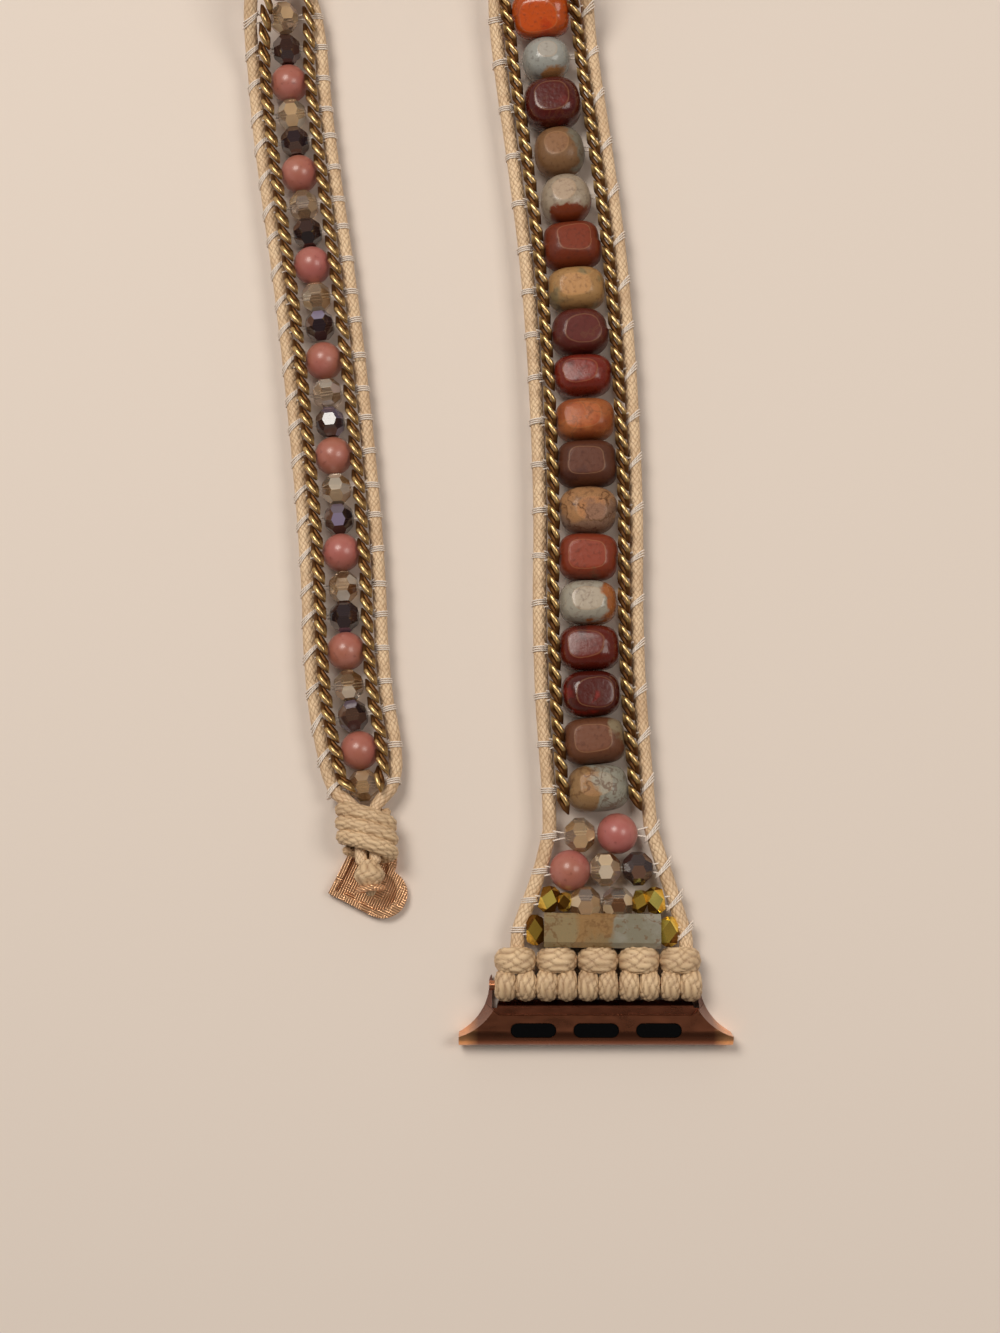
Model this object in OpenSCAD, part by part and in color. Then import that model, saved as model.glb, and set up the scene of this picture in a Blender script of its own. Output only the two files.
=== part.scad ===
// Wrap watch band: a watch-side adapter, a ladder-stitched beaded strap laid in a U
// with its bend standing on edge, and a heart button at the free end.
// Millimetres, +Z up. The origin is the centre of the adapter's resting face.

/* [Adapter] */
// Overall width across the flared tips
adapter_w = 34.2; // [32:0.2:37]
// Width across the neck that carries the bar
neck_w = 27.7; // [27.6:0.1:28.4]
// Depth of the solid body along the strap
adapter_l = 4.8; // [4.2:0.1:5.4]
// Thickness of the body
adapter_h = 3.6; // [3.5:0.1:3.9]
// Radius of the concave flare between neck and tip
flare_r = 7; // [6:0.5:9]
// Lean of the flare cut that leaves the bright end faces, in degrees
flare_tilt = 22; // [10:1:30]
// Diameter of the bar that the cord is hitched on
bar_d = 1.2; // [1:0.05:1.4]
// Distance from the slot's wall to the bar's axis
bar_gap = 2.8; // [2.7:0.05:3.2]
// Height of the bar's axis above the table
bar_z = 2.6; // [2.55:0.05:2.8]
// Length of an oval recess
oval_l = 5.7; // [5:0.1:6.2]
// Width of an oval recess
oval_w = 1.8; // [1.5:0.05:2]
// Distance between oval recesses
oval_pitch = 7.8; // [7:0.1:8.6]
// Depth of an oval recess
oval_depth = 2.3; // [2:0.05:2.6]
// Play round the lock button and the pads
oval_play = 0.08; // [0.05:0.01:0.12]
// Travel of the sprung lock button
lock_travel = 0.6; // [0.4:0.05:0.7]
// Thickness of the leaf spring under the lock button
spring_t = 0.12; // [0.1:0.01:0.16]

/* [Cords and threads] */
// Diameter of the waxed edge cords
cord_d = 1.7; // [1.5:0.05:1.8]
// Diameter of the cord where it is hitched on the bar
hitch_d = 1.9; // [1.7:0.05:1.95]
// Number of hitches on the bar
hitches = 5; // [4:1:5]
// Distance between hitches
hitch_pitch = 5.15; // [5.1:0.05:5.3]
// Diameter of the stitching thread
thread_d = 0.3; // [0.24:0.02:0.32]
// Play between a thread wrap and its cord
wrap_play = 0.16; // [0.16:0.01:0.18]
// Distance of the two thread wraps from the middle of a bead row
wrap_offset = 0.36; // [0.36:0.02:0.5]
// Play between neighbouring pieces that only touch lightly
play = 0.04; // [0.03:0.01:0.06]

/* [Wide beads] */
// Half distance between the edge cords beside the wide beads
wide_x = 6.25; // [6.2:0.05:6.8]
// Width of a tumbled nugget across the strap
nugget_w = 7.4; // [6.8:0.1:7.5]
// Thickness of a nugget
nugget_h = 6; // [5.4:0.1:6.2]
// Radius of the sphere that rounds a nugget's corners
nugget_round = 4.05; // [3.9:0.05:4.3]
// Space between nuggets
nugget_gap = 0.42; // [0.35:0.02:0.6]
// Space between nuggets where the strap turns on edge
twist_gap = 0.8; // [0.7:0.05:1]
// Space between two beads where the strap is jointed
joint_gap = 0.8; // [0.75:0.05:1]
// Play between two cord ends that meet in a joint
joint_play = 0.24; // [0.22:0.02:0.3]
// Height of a flexing axis above the middle plane of the beads
hinge_z = 0.7; // [0.6:0.05:0.9]

/* [Narrow beads] */
// Half distance between the edge cords beside the narrow beads
narrow_x = 4.6; // [4.6:0.05:5]
// Diameter of a pink round bead
pink_d = 5; // [4.6:0.1:5]
// Diameter of a faceted crystal
crystal_d = 3.8; // [3.4:0.1:4]
// Space between narrow beads
narrow_gap = 0.13; // [0.12:0.01:0.3]
// Space between two narrow beads where the strap is jointed
narrow_joint_gap = 0.45; // [0.4:0.05:0.6]
// Diameter of a bead's bore
bore_d = 0.8; // [0.6:0.05:0.9]

/* [Chains] */
// Distance between links beside the wide beads
wide_pitch = 2.3; // [2.2:0.05:2.34]
// Distance between links beside the narrow beads
narrow_pitch = 2.14; // [2.05:0.02:2.18]
// Reach of a link past the middle of the next gap, which hooks it into its neighbour
link_over = 0.58; // [0.57:0.01:0.6]
// Width of a chain over its slanted bars
link_w = 1.6; // [1.56:0.02:1.64]
// Thickness of a link's wire
wire_d = 0.44; // [0.4:0.02:0.46]
// Height of the chains above the middle plane of the beads
chain_z = 1.85; // [1.82:0.01:1.9]
// Distance of the chain from the edge cord, wide part
chain_in_wide = 1.7; // [1.68:0.01:1.72]
// Distance of the chain from the edge cord, narrow part
chain_in_narrow = 1.53; // [1.5:0.01:1.55]

/* [Bend] */
// Radius of the bend in which the strap stands on edge
bend_r = 17.2; // [15:0.2:20]
// Length over which the strap turns from flat to on edge
twist_l = 24; // [22:1:28]

/* [Button] */
// Radius of the heart's lobes
lobe_r = 3.1; // [2.8:0.05:3.3]
// Thickness of the heart at its rim
heart_h = 1.3; // [1.1:0.1:1.5]
// Width of the raised rim
heart_rim = 0.7; // [0.5:0.05:1]
// Thickness of the wire shank
shank_d = 0.8; // [0.7:0.05:0.9]
// Length of the wrapping knot
knot_l = 6.7; // [6.7:0.1:7.4]
// Thickness of the cord drawn tight round the knot
knot_cord_d = 1.3; // [1.15:0.05:1.3]
// Turns of that cord
knot_turns = 3; // [2.5:0.1:3]
// Diameter of the stopper bulge before the shank
bulge_d = 3; // [2.8:0.1:3.2]

/* [Hidden] */

cord_r = cord_d / 2;
thread_r = thread_d / 2;
slot_y = adapter_l / 2 - 0.2;             // wall of the slot behind the body
bar_y = slot_y + bar_gap;                // axis of the bar

// ---- Route of the strap's middle line, in plan -------------------------------------
leg_out = [[0.75, bar_y], [0.85, 11.7], [0.9, 18.6], [0.5, 29], [-0.3, 41], [-0.6, 52.6], [-0.5, 65], [-0.8, 77],
    [-1.4, 89], [-2.4, 101.6], [-4, 115], [-5.6, 127], [-7, 140], [-9, 154]];
lean = 7;                                 // both legs lean this many degrees at the bend
bend_c = [-9 - bend_r * cos(lean), 154 - bend_r * sin(lean)];
bend = [for (a = [22.5:22.5:157.5]) bend_c + bend_r * [cos(a + lean), sin(a + lean)]];
leg_end = bend_c - bend_r * [cos(lean), sin(lean)];
leg_back = [leg_end, [-41.5, 137], [-40, 121], [-38.3, 108.6], [-37, 100], [-35.9, 92], [-34.8, 83], [-33.8, 74],
    [-32.9, 65], [-32.2, 56], [-31.8, 48], [-31.1, 41], [-29.9, 34.6], [-29.2, 29], [-28.7, 23], [-28.1, 16], [-27.5, 9]];
route = concat(leg_out, bend, leg_back);
n_route = len(route);
steps = 12;
function knot(i) = route[max(0, min(n_route - 1, i))];
// Catmull-Rom curve between two route points
function curve(i, t) = 0.5 * (2 * knot(i) + (knot(i + 1) - knot(i - 1)) * t
    + (2 * knot(i - 1) - 5 * knot(i) + 4 * knot(i + 1) - knot(i + 2)) * t * t
    + (3 * knot(i) - knot(i - 1) - 3 * knot(i + 1) + knot(i + 2)) * t * t * t);
fine = [for (i = [0:n_route - 2]) for (k = [0:steps - 1]) curve(i, k / steps), route[n_route - 1]];
run = [for (i = 0, s = 0; i < len(fine); s = s + (i + 1 < len(fine) ? norm(fine[i + 1] - fine[i]) : 0), i = i + 1) s];
tab_x = [for (i = [0:len(fine) - 1]) [run[i], fine[i][0]]];
tab_y = [for (i = [0:len(fine) - 1]) [run[i], fine[i][1]]];
s_bend0 = run[(len(leg_out) - 1) * steps];              // start and end of the bend
s_bend1 = run[(len(leg_out) + len(bend)) * steps];

// ---- Stations of the beads along the route ------------------------------------------
// Rows of the fan, then the nuggets, then the narrow beads up to the knot
s_bar_bead = 11.75 - bar_y;
s_row3 = s_bar_bead + 4.15;
s_row2 = s_row3 + 4;
s_row1 = s_row2 + 4.5;
nugget_l = [5.6, 5.6, 5.6, 5.5, 5.5, 5.7, 5.8, 5.8, 5.2, 5.2, 5.8, 5.4, 5.9, 6.3, 6.3, 6.6, 5.4, 5.8, 5.8, 5.6, 5.4];
n_nuggets = len(nugget_l);
cut_a = 9;                               // first nugget of the second and of the third segment
cut_b = 18;
function joint_after(i) = i == cut_a - 1 || i == cut_b - 1;
nugget_s = [for (i = 0, s = s_row1 + 2.5 + nugget_l[0] / 2; i < n_nuggets;
    s = s + (i + 1 < n_nuggets ? (nugget_l[i] + nugget_l[i + 1]) / 2 + (joint_after(i) ? joint_gap : i >= cut_b ? twist_gap : nugget_gap) : 0),
    i = i + 1) s];
s_a = (nugget_s[cut_a - 1] + nugget_l[cut_a - 1] / 2 + nugget_s[cut_a] - nugget_l[cut_a] / 2) / 2;
s_b = (nugget_s[cut_b - 1] + nugget_l[cut_b - 1] / 2 + nugget_s[cut_b] - nugget_l[cut_b] / 2) / 2;
s_c = nugget_s[n_nuggets - 1] + nugget_l[n_nuggets - 1] / 2 + joint_gap / 2;

n_small = 40;                            // narrow beads, counted from the bend
cuts = [6, 12, 26];                      // first bead of the fifth, sixth and seventh segments
function kind(i) = (n_small - 1 - i) % 3;   // 0 clear, 1 pink, 2 dark
function size(i) = kind(i) == 1 ? pink_d : crystal_d;
small_s = [for (i = 0, s = s_c + joint_gap / 2 + size(0) / 2; i < n_small;
    s = s + (i + 1 < n_small ? (size(i) + size(i + 1)) / 2 + (len(search(i + 1, cuts)) > 0 ? narrow_joint_gap : narrow_gap) : 0), i = i + 1) s];
function between(i) = (small_s[i - 1] + size(i - 1) / 2 + small_s[i] - size(i) / 2) / 2;
s_d = between(cuts[0]);
s_e = between(cuts[1]);
s_f = between(cuts[2]);
s_last = small_s[n_small - 1];
s_g = s_last + crystal_d / 2 + joint_gap / 2;   // joint to the knot
s_knot = s_g + 0.55 + knot_l / 2;

// ---- Section of the strap along the route -------------------------------------------
function ease(t) = let(u = max(0, min(1, t))) u * u * (3 - 2 * u);
function roll(s) = 90 * (ease((s - s_bend0 + twist_l) / twist_l) - ease((s - s_bend1) / twist_l));
hitch_half = (hitches - 1) / 2 * hitch_pitch;
// Half distance between the edge cords
function edge_x(s) = lookup(s, [[0, hitch_half + 0.5], [4.4, hitch_half + 0.4], [s_bar_bead, 10.45], [s_row3, 9], [s_row2, 7.65], [s_row1, 6.4],
    [nugget_s[0] - 1, wide_x], [s_c - 1, wide_x], [s_c + 5, narrow_x], [s_last + 0.6, narrow_x], [s_g, 1.9], [s_g + 0.9, cord_r + play]]);
half_t = [[0, bar_z], [s_bar_bead, 2.5], [s_row1, 2.95], [nugget_s[0] - 3, nugget_h / 2 + 0.02],
    [s_bend0 - twist_l - 8, nugget_h / 2 + 0.02], [s_bend0 - twist_l + 4, nugget_h / 2 + 0.17], [s_c, nugget_h / 2],
    [s_c + 5, pink_d / 2], [s_g - 3, pink_d / 2], [s_knot, 3.6], [s_knot + 3.2, 4.1], [s_knot + 8, 4.2]];
// Height of the middle line, so that the strap rests on the table at any roll
wrap_r = cord_r + wrap_play + thread_r;   // radius of a thread wrap
function rise(s) = (edge_x(s) + wrap_r + thread_r) * sin(roll(s)) + lookup(s, half_t) * cos(roll(s));
function mid(s) = [lookup(s, tab_x), lookup(s, tab_y), rise(s)];
function unit(v) = v / norm(v);
function along(s) = unit(mid(s + 0.6) - mid(s - 0.6));
function left_of(s) = unit(cross([0, 0, 1], along(s)));
function normal(s) = unit(cos(roll(s)) * cross(along(s), left_of(s)) + sin(roll(s)) * left_of(s));
function side(s) = cross(along(s), normal(s));
function place(s, x = 0, z = 0) = mid(s) + x * side(s) + z * normal(s);

// Puts children on the route: X across the strap, Y along it, Z out of its face
module at(s, x = 0, z = 0) {
    p = place(s, x, z); b = side(s); t = along(s); n = normal(s);
    multmatrix([[b[0], t[0], n[0], p[0]], [b[1], t[1], n[1], p[1]], [b[2], t[2], n[2], p[2]], [0, 0, 0, 1]]) children();
}

// ---- Shared shapes --------------------------------------------------------------------
// Closed tube through rings of points
module tube(rings) {
    m = len(rings[0]); n = len(rings);
    polyhedron([for (r = rings) each r], concat(
        [for (k = [0:n - 2]) for (j = [0:m - 1]) let(a = k * m + j, b = k * m + (j + 1) % m) each [[a, b + m, b], [a, a + m, b + m]]],
        [for (j = [1:m - 2]) [0, j, j + 1]], [for (j = [1:m - 2]) [(n - 1) * m, (n - 1) * m + j + 1, (n - 1) * m + j]]));
}
// Tube along free points, its sides carried on from ring to ring
function tangents(p) = [for (k = [0:len(p) - 1]) unit(p[min(k + 1, len(p) - 1)] - p[max(k - 1, 0)])];
function carried(t, u0) = [for (k = 0, u = unit(u0 - (u0 * t[0]) * t[0]); k < len(t);
    k = k + 1, u = k < len(t) ? unit(u - (u * t[k]) * t[k]) : u) u];
module sweep(p, r, u0, sides = 6) {
    t = tangents(p); u = carried(t, u0);
    tube([for (k = [0:len(p) - 1]) let(v = cross(t[k], u[k])) [for (j = [0:sides - 1]) p[k] + r * (cos(360 * j / sides) * u[k] + sin(360 * j / sides) * v)]]);
}
// Lines beside the middle one: the edge cord (chain = false) and the chain (chain = true) of side e
chain_in = [[s_c - 1, chain_in_wide], [s_c + 5, chain_in_narrow]];
function off(s, e, chain = false) = chain ? place(s, e * (edge_x(s) - lookup(s, chain_in)), chain_z) : place(s, e * edge_x(s));
function off_along(s, e, chain = false) = unit(off(s + 0.5, e, chain) - off(s - 0.5, e, chain));
// Puts children on such a line, with Y along it
module beside(s, e, chain = false) {
    q = off(s, e, chain); t = off_along(s, e, chain); n = unit(normal(s) - (normal(s) * t) * t); b = cross(t, n);
    multmatrix([[b[0], t[0], n[0], q[0]], [b[1], t[1], n[1], q[1]], [b[2], t[2], n[2], q[2]], [0, 0, 0, 1]]) children();
}
// Eight points round a line's station
function ring(s, e, r) = let(t = off_along(s, e), v = unit(normal(s) - (normal(s) * t) * t), b = cross(t, v))
    [for (j = [0:7]) off(s, e) + r * (cos(45 * j + 22.5) * v + sin(45 * j + 22.5) * b)];
// Edge cords with a ring at each row of beads, their ends necked down to pivot in a joint
module cords(sa, sb, rows) color("burlywood") for (e = [-1, 1])
    tube([ring(sa + joint_play / 2, e, 0.45 * cord_r), ring(sa + cord_r, e, cord_r), for (s = rows) ring(s, e, cord_r),
        ring(sb - cord_r, e, cord_r), ring(sb - joint_play / 2, e, 0.45 * cord_r)]);

// Stitching thread of one row: through the bores and twice round each cord
module row_thread(s) {
    reach = edge_x(s) - cord_r - play;
    at(s) rotate([0, 90, 0]) cylinder(h = 2 * reach, r = thread_r, center = true, $fn = 16);
    for (e = [-1, 1], y = [-1, 1]) beside(s + y * wrap_offset, e) rotate([90, 0, 0])
        rotate_extrude($fn = 20) translate([wrap_r, 0]) circle(r = thread_r, $fn = 13);
}
module threads(rows) color("white") for (s = rows) row_thread(s);

// Six-point loop of one curb link: bows at +-45 degrees, slanted bars between them
module curb_link(pitch) {
    r = (link_w - wire_d) / 2; l = pitch / 2 + link_over; h = l - 0.9;
    loop = [[r, h, r], [0, l, 0], [-r, h, -r], [r, -h, -r], [0, -l, 0], [-r, -h, r]];
    pts = [for (i = [0:5]) let(t = unit(loop[(i + 1) % 6] - loop[(i + 5) % 6]), u = unit(cross(t, loop[i])), v = cross(t, u))
        for (j = [0:3]) loop[i] + wire_d / 2 * 1.1 * (cos(90 * j + 45) * u + sin(90 * j + 45) * v)];
    polyhedron(pts, [for (i = [0:5]) for (j = [0:3])
        let(a = 4 * i + j, b = 4 * i + (j + 1) % 4, c = (4 * i + 4 + j) % 24, d = (4 * i + 4 + (j + 1) % 4) % 24) each [[a, d, b], [a, c, d]]]);
}
// Chain's own length from station to station, and its links spread evenly between two stations
function chain_run(e, sa, sb, n = 20) = [for (i = 0, l = 0; i <= n;
    l = l + norm(off(sa + (sb - sa) * (i + 1) / n, e, true) - off(sa + (sb - sa) * i / n, e, true)), i = i + 1) [l, sa + (sb - sa) * i / n]];
module chains(sa, sb, pitch) color("darkgoldenrod") for (e = [-1, 1]) {
    l = chain_run(e, sa, sb); total = l[len(l) - 1][0]; n = round(total / pitch);
    for (k = [0.5:n]) beside(lookup(total * k / n, l), e, true) curb_link(total / n);
}

module bore(w) rotate([0, 90, 0]) cylinder(h = w + 2, d = bore_d, center = true, $fn = 24);
// Tumbled nugget: a block rounded by a sphere, which leaves oval flats
module nugget(l) difference() {
    intersection() {
        cube([nugget_w, l, nugget_h], center = true);
        translate([0, 0, 0]) sphere(r = nugget_round + (l - 5.6) / 4, $fn = 48);
    }
    bore(nugget_w);
}
module round_bead(d) difference() { sphere(d = d, $fn = 32); bore(d); }
// Faceted crystal: eight-sided prisms crossed along and across the bore
module crystal(d) difference() {
    intersection() {
        rotate([0, 90, 0]) rotate([0, 0, 22.5]) cylinder(h = d * 0.92, d = d * 1.06, center = true, $fn = 8);
        rotate([0, 0, 22.5]) cylinder(h = d, d = d * 1.06, center = true, $fn = 8);
        rotate([90, 0, 0]) rotate([0, 0, 22.5]) cylinder(h = d, d = d * 1.06, center = true, $fn = 8);
    }
    bore(d);
}
// Gold nugget: two crossed lozenge prisms
module gold(w, l, h) difference() {
    intersection() {
        linear_extrude(h, center = true) polygon([[-w / 2, 0], [-w / 4, l / 2], [w / 4, l / 2], [w / 2, 0], [w / 4, -l / 2], [-w / 4, -l / 2]]);
        rotate([90, 0, 0]) linear_extrude(l, center = true) polygon([[-w / 2, h / 6], [-w / 6, h / 2], [w / 6, h / 2], [w / 2, h / 6],
            [w / 2, -h / 6], [w / 6, -h / 2], [-w / 6, -h / 2], [-w / 2, -h / 6]]);
    }
    bore(w);
}

// ---- Adapter ----------------------------------------------------------------------------
module oval(l, w) { for (e = [-1, 1]) translate([e * (l - w) / 2, 0]) circle(d = w, $fn = 32); square([l - w, w], center = true); }
body_edge = adapter_l / 2;
ear_end = bar_y + 1.3;
module side_profile() {                     // Y across, Z up: rounded nose that slides into the watch
    nose = adapter_h / 2;
    translate([-body_edge + nose, nose]) circle(r = nose, $fn = 48);
    translate([-body_edge + nose, 0]) square([ear_end - 1 + body_edge - nose, adapter_h]);
    for (z = [1, adapter_h - 1]) translate([ear_end - 1, z]) circle(r = 1, $fn = 32);
    translate([ear_end - 1, 1]) square([1, adapter_h - 2]);
}
module adapter_body() color("peru") {
    slot_w = (hitches - 1) * hitch_pitch + 2 * 2.5 + 0.3;
    difference() {
        rotate([90, 0, 90]) translate([0, 0, -adapter_w / 2]) linear_extrude(adapter_w) side_profile();
        for (e = [-1, 1]) {
            // concave flare from tip to neck
            translate([e * (neck_w / 2 + flare_r), -body_edge + 0.7 + flare_r, 0]) rotate([0, -e * flare_tilt, 0])
                cylinder(h = 30, r = flare_r, center = true, $fn = 64);
            translate([e * (neck_w / 2 + 10), -body_edge + 0.7 + flare_r + 10, 0]) cube([20, 20, 30], center = true);
        }
        // slot between the ears, with a step along the body
        translate([-slot_w / 2, slot_y, -1]) cube([slot_w, 20, adapter_h + 2]);
        translate([0, slot_y + 1, adapter_h - 0.9]) linear_extrude(3)
            polygon([[-slot_w / 2, 0], [-slot_w / 2, -1], [0.8 - slot_w / 2, -1.8], [slot_w / 2 - 0.8, -1.8], [slot_w / 2, -1], [slot_w / 2, 0]]);
        rotate([0, 90, 0]) translate([-bar_z, bar_y, 0]) cylinder(h = neck_w - 1, d = bar_d + 2 * 0.02, center = true, $fn = 32);
        for (i = [-1:1]) translate([i * oval_pitch, -0.55, adapter_h - oval_depth]) linear_extrude(oval_depth + 1) oval(oval_l, oval_w);
    }
}
module adapter_bar() color("peru") rotate([0, 90, 0]) translate([-bar_z, bar_y, 0]) cylinder(h = neck_w - 1.1, d = bar_d, center = true, $fn = 32);
module friction_pads() color([0.08, 0.08, 0.09]) for (i = [-1, 1]) translate([i * oval_pitch, -0.55, adapter_h - oval_depth])
    linear_extrude(oval_depth - 0.1) oval(oval_l - 2 * oval_play, oval_w - 2 * oval_play);
module lock_button() color([0.1, 0.1, 0.11]) translate([0, -0.55, adapter_h - oval_depth + lock_travel + 2 * spring_t + 0.2])
    linear_extrude(oval_depth - lock_travel - 2 * spring_t - 0.1) oval(oval_l - 2 * oval_play, oval_w - 2 * oval_play);
// Bowed leaf spring between the recess floor and the lock button
module lock_spring() color("silver") {
    span = oval_l - 1.6; bow = lock_travel + 0.12 + spring_t;
    r = (span * span / 4 + bow * bow) / (2 * bow);
    translate([0, -0.55, adapter_h - oval_depth + 0.02]) intersection() {
        translate([0, 0, bow - r]) rotate([90, 0, 0]) difference() {
            cylinder(h = oval_w - 0.5, r = r, center = true, $fn = 96);
            cylinder(h = oval_w + 1, r = r - spring_t, center = true, $fn = 96);
        }
        translate([-span / 2, -1, 0]) cube([span, 2, bow]);
    }
}

// ---- Fan between adapter and strap ----------------------------------------------------
// Cord of one hitch: over the bar, back under it, up and across as a bump, and back the same way
hitch_r = bar_d / 2 + hitch_d / 2 + play;
function half_hitch(e) = concat([for (a = [45:30:285]) [e * 1.22, hitch_r * cos(a), hitch_r * sin(a)]],
    [[e * 1.4, 1.7, -1.5], [e * 1.6, 2.7, -1.2], [e * 1.6, 3.35, 0.1], [e * 1.45, 3.5, 1.3], [e * 0.8, 3.3, 2.05]]);
hitch_path = concat(half_hitch(-1), [[0, 3.25, 2.15]], [for (k = [len(half_hitch(1)) - 1:-1:0]) half_hitch(1)[k]]);
module hitch_cord() color("burlywood") for (i = [0:hitches - 1])
    translate([0.3 + i * hitch_pitch - hitch_half, bar_y, bar_z]) sweep(hitch_path, hitch_d / 2, [1, 0, 0]);
// Least gap of a tube of radius r to itself, over points more than skip apart
function self_gap(p, r, skip) = min([for (i = [0:len(p) - 1 - skip]) for (j = [i + skip:len(p) - 1]) norm(p[i] - p[j])]) - 2 * r;
echo(hitch_gap = self_gap(hitch_path, hitch_d / 2, 5));
fan_rows = [s_bar_bead, s_row3, s_row2, s_row1];
module fan_threads() threads(fan_rows);
fan_pink_d = pink_d - 0.3;
module fan_pink() color("rosybrown") { at(s_row2, -3.95) round_bead(fan_pink_d); at(s_row1, 2.1) round_bead(fan_pink_d); }
module fan_crystals() color("tan") { at(s_row1, -2.55) crystal(crystal_d); at(s_row2, 0.42) crystal(crystal_d);
    for (x = [-2.05, 1.9]) at(s_row3, x) crystal(crystal_d); }
module fan_dark() color("dimgray") at(s_row2, 4.36) crystal(crystal_d);
module fan_gold() color("gold") { for (x = [-4.85, 4.7]) at(s_row3, x) gold(1.6, 2.9, 2.4); for (x = [-6.6, 6.5]) at(s_row3, x) gold(1.7, 3.4, 2.6);
    for (x = [-8.3, 8.3]) at(s_bar_bead, x) gold(1.8, 3.7, 3); }
module stone_bar() color("darkseagreen") at(s_bar_bead) difference() {
    intersection() { cube([14.6, 4.3, 4.3], center = true); rotate([0, 90, 0]) rotate([0, 0, 22.5]) cylinder(h = 20, r = 2.78, center = true, $fn = 8); }
    bore(16);
}

// ---- Strap ----------------------------------------------------------------------------
module nuggets(a, b) color("sienna") for (i = [a:b]) at(nugget_s[i]) nugget(nugget_l[i]);
module smalls(a, b, k) color(k == 1 ? "rosybrown" : k == 0 ? "tan" : "dimgray")
    for (i = [a:b]) if (kind(i) == k) at(small_s[i]) { if (k == 1) round_bead(pink_d); else crystal(crystal_d); }
function slice(v, a, b) = [for (i = [a:b]) v[i]];
rows1 = slice(nugget_s, 0, cut_a - 1);
rows2 = slice(nugget_s, cut_a, cut_b - 1);
rows3 = slice(nugget_s, cut_b, n_nuggets - 1);
rows4 = slice(small_s, 0, cuts[0] - 1);
rows5 = slice(small_s, cuts[0], cuts[1] - 1);
rows6 = slice(small_s, cuts[1], cuts[2] - 1);
rows7 = slice(small_s, cuts[2], n_small - 1);

module strap1_nuggets() nuggets(0, cut_a - 1);
module strap1_cords() cords(4.5, s_a, concat(fan_rows, rows1));
module strap1_chains() chains(nugget_s[0] - 2.4, s_a, wide_pitch);
module strap1_threads() threads(rows1);
module strap2_nuggets() nuggets(cut_a, cut_b - 1);
module strap2_cords() cords(s_a, s_b, rows2);
module strap2_chains() chains(s_a, s_b, wide_pitch);
module strap2_threads() threads(rows2);
module strap3_nuggets() nuggets(cut_b, n_nuggets - 1);
module strap3_cords() cords(s_b, s_c, rows3);
module strap3_chains() chains(s_b, s_c, wide_pitch);
module strap3_threads() threads(rows3);
module strap4_pink() smalls(0, cuts[0] - 1, 1);
module strap4_crystals() smalls(0, cuts[0] - 1, 0);
module strap4_dark() smalls(0, cuts[0] - 1, 2);
module strap4_cords() cords(s_c, s_d, rows4);
module strap4_chains() chains(s_c, s_d, narrow_pitch);
module strap4_threads() threads(rows4);
module strap5_pink() smalls(cuts[0], cuts[1] - 1, 1);
module strap5_crystals() smalls(cuts[0], cuts[1] - 1, 0);
module strap5_dark() smalls(cuts[0], cuts[1] - 1, 2);
module strap5_cords() cords(s_d, s_e, rows5);
module strap5_chains() chains(s_d, s_e, narrow_pitch);
module strap5_threads() threads(rows5);
module strap6_pink() smalls(cuts[1], cuts[2] - 1, 1);
module strap6_crystals() smalls(cuts[1], cuts[2] - 1, 0);
module strap6_dark() smalls(cuts[1], cuts[2] - 1, 2);
module strap6_cords() cords(s_e, s_f, rows6);
module strap6_chains() chains(s_e, s_f, narrow_pitch);
module strap6_threads() threads(rows6);
module strap7_pink() smalls(cuts[2], n_small - 1, 1);
module strap7_crystals() smalls(cuts[2], n_small - 1, 0);
module strap7_dark() smalls(cuts[2], n_small - 1, 2);
module strap7_cords() cords(s_f, s_g, concat(rows7, [s_last + 0.6]));
module strap7_chains() chains(s_f, s_last + 0.5, narrow_pitch);
module strap7_threads() threads(rows7);

// ---- Knot, loop cord and button ---------------------------------------------------------
// Cord wound round the ends of the two edge cords, each turn climbing to one side
knot_x = cord_d + knot_cord_d / 2 + 0.2;
knot_z = cord_r + knot_cord_d / 2 + 0.2;
knot_path = [for (a = [0:20:360 * knot_turns]) let(y = (knot_l - knot_cord_d) * (a / (360 * knot_turns) - 0.5))
    [knot_x * cos(a + 180), y + 0.22 * knot_x * cos(a), knot_z * sin(a + 180)]];
echo(knot_gap = self_gap(knot_path, knot_cord_d / 2, 9));
module wrap_knot() color("burlywood") {
    at(s_knot) sweep(knot_path, knot_cord_d / 2, [0, 1, 0]);
    for (e = [-1, 1]) edge_core(e);
}
// The edge cords' ends inside the knot
module edge_core(e) tube([for (q = [[joint_play / 2, 0.4], [cord_r, 0.9], [knot_l * 0.5, 0.9], [knot_l + 0.6, 0.9]])
    let(s = s_g + q[0], c = place(s, e * max(edge_x(s), cord_r + play)))
    [for (j = [0:7]) c + q[1] * cord_r * (cos(45 * j + 22.5) * normal(s) + sin(45 * j + 22.5) * side(s))]]);
s_loop = s_g + knot_l + 0.85;
s_bulge = s_loop + bulge_d / 2 - 0.2;
s_shank = s_bulge + bulge_d / 2 + shank_d / 2 + 0.1;
shank_r = cord_r + shank_d / 2 + 0.25;
// Cord end: a stopper bulge, then through the shank to a small end knot
module loop_cord() color("burlywood") {
    at(s_loop) rotate([-90, 0, 0]) cylinder(h = s_shank + 1.7 - s_loop, r = cord_r * 0.95, $fn = 24);
    at(s_bulge) sphere(d = bulge_d, $fn = 24);
    at(s_shank + 1.9) sphere(r = shank_r, $fn = 24);
    at(s_bulge, -1.2, 1.3) rotate([70, 0, 30]) cylinder(h = 2.2, r = cord_r * 0.7, $fn = 24);
}
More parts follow.
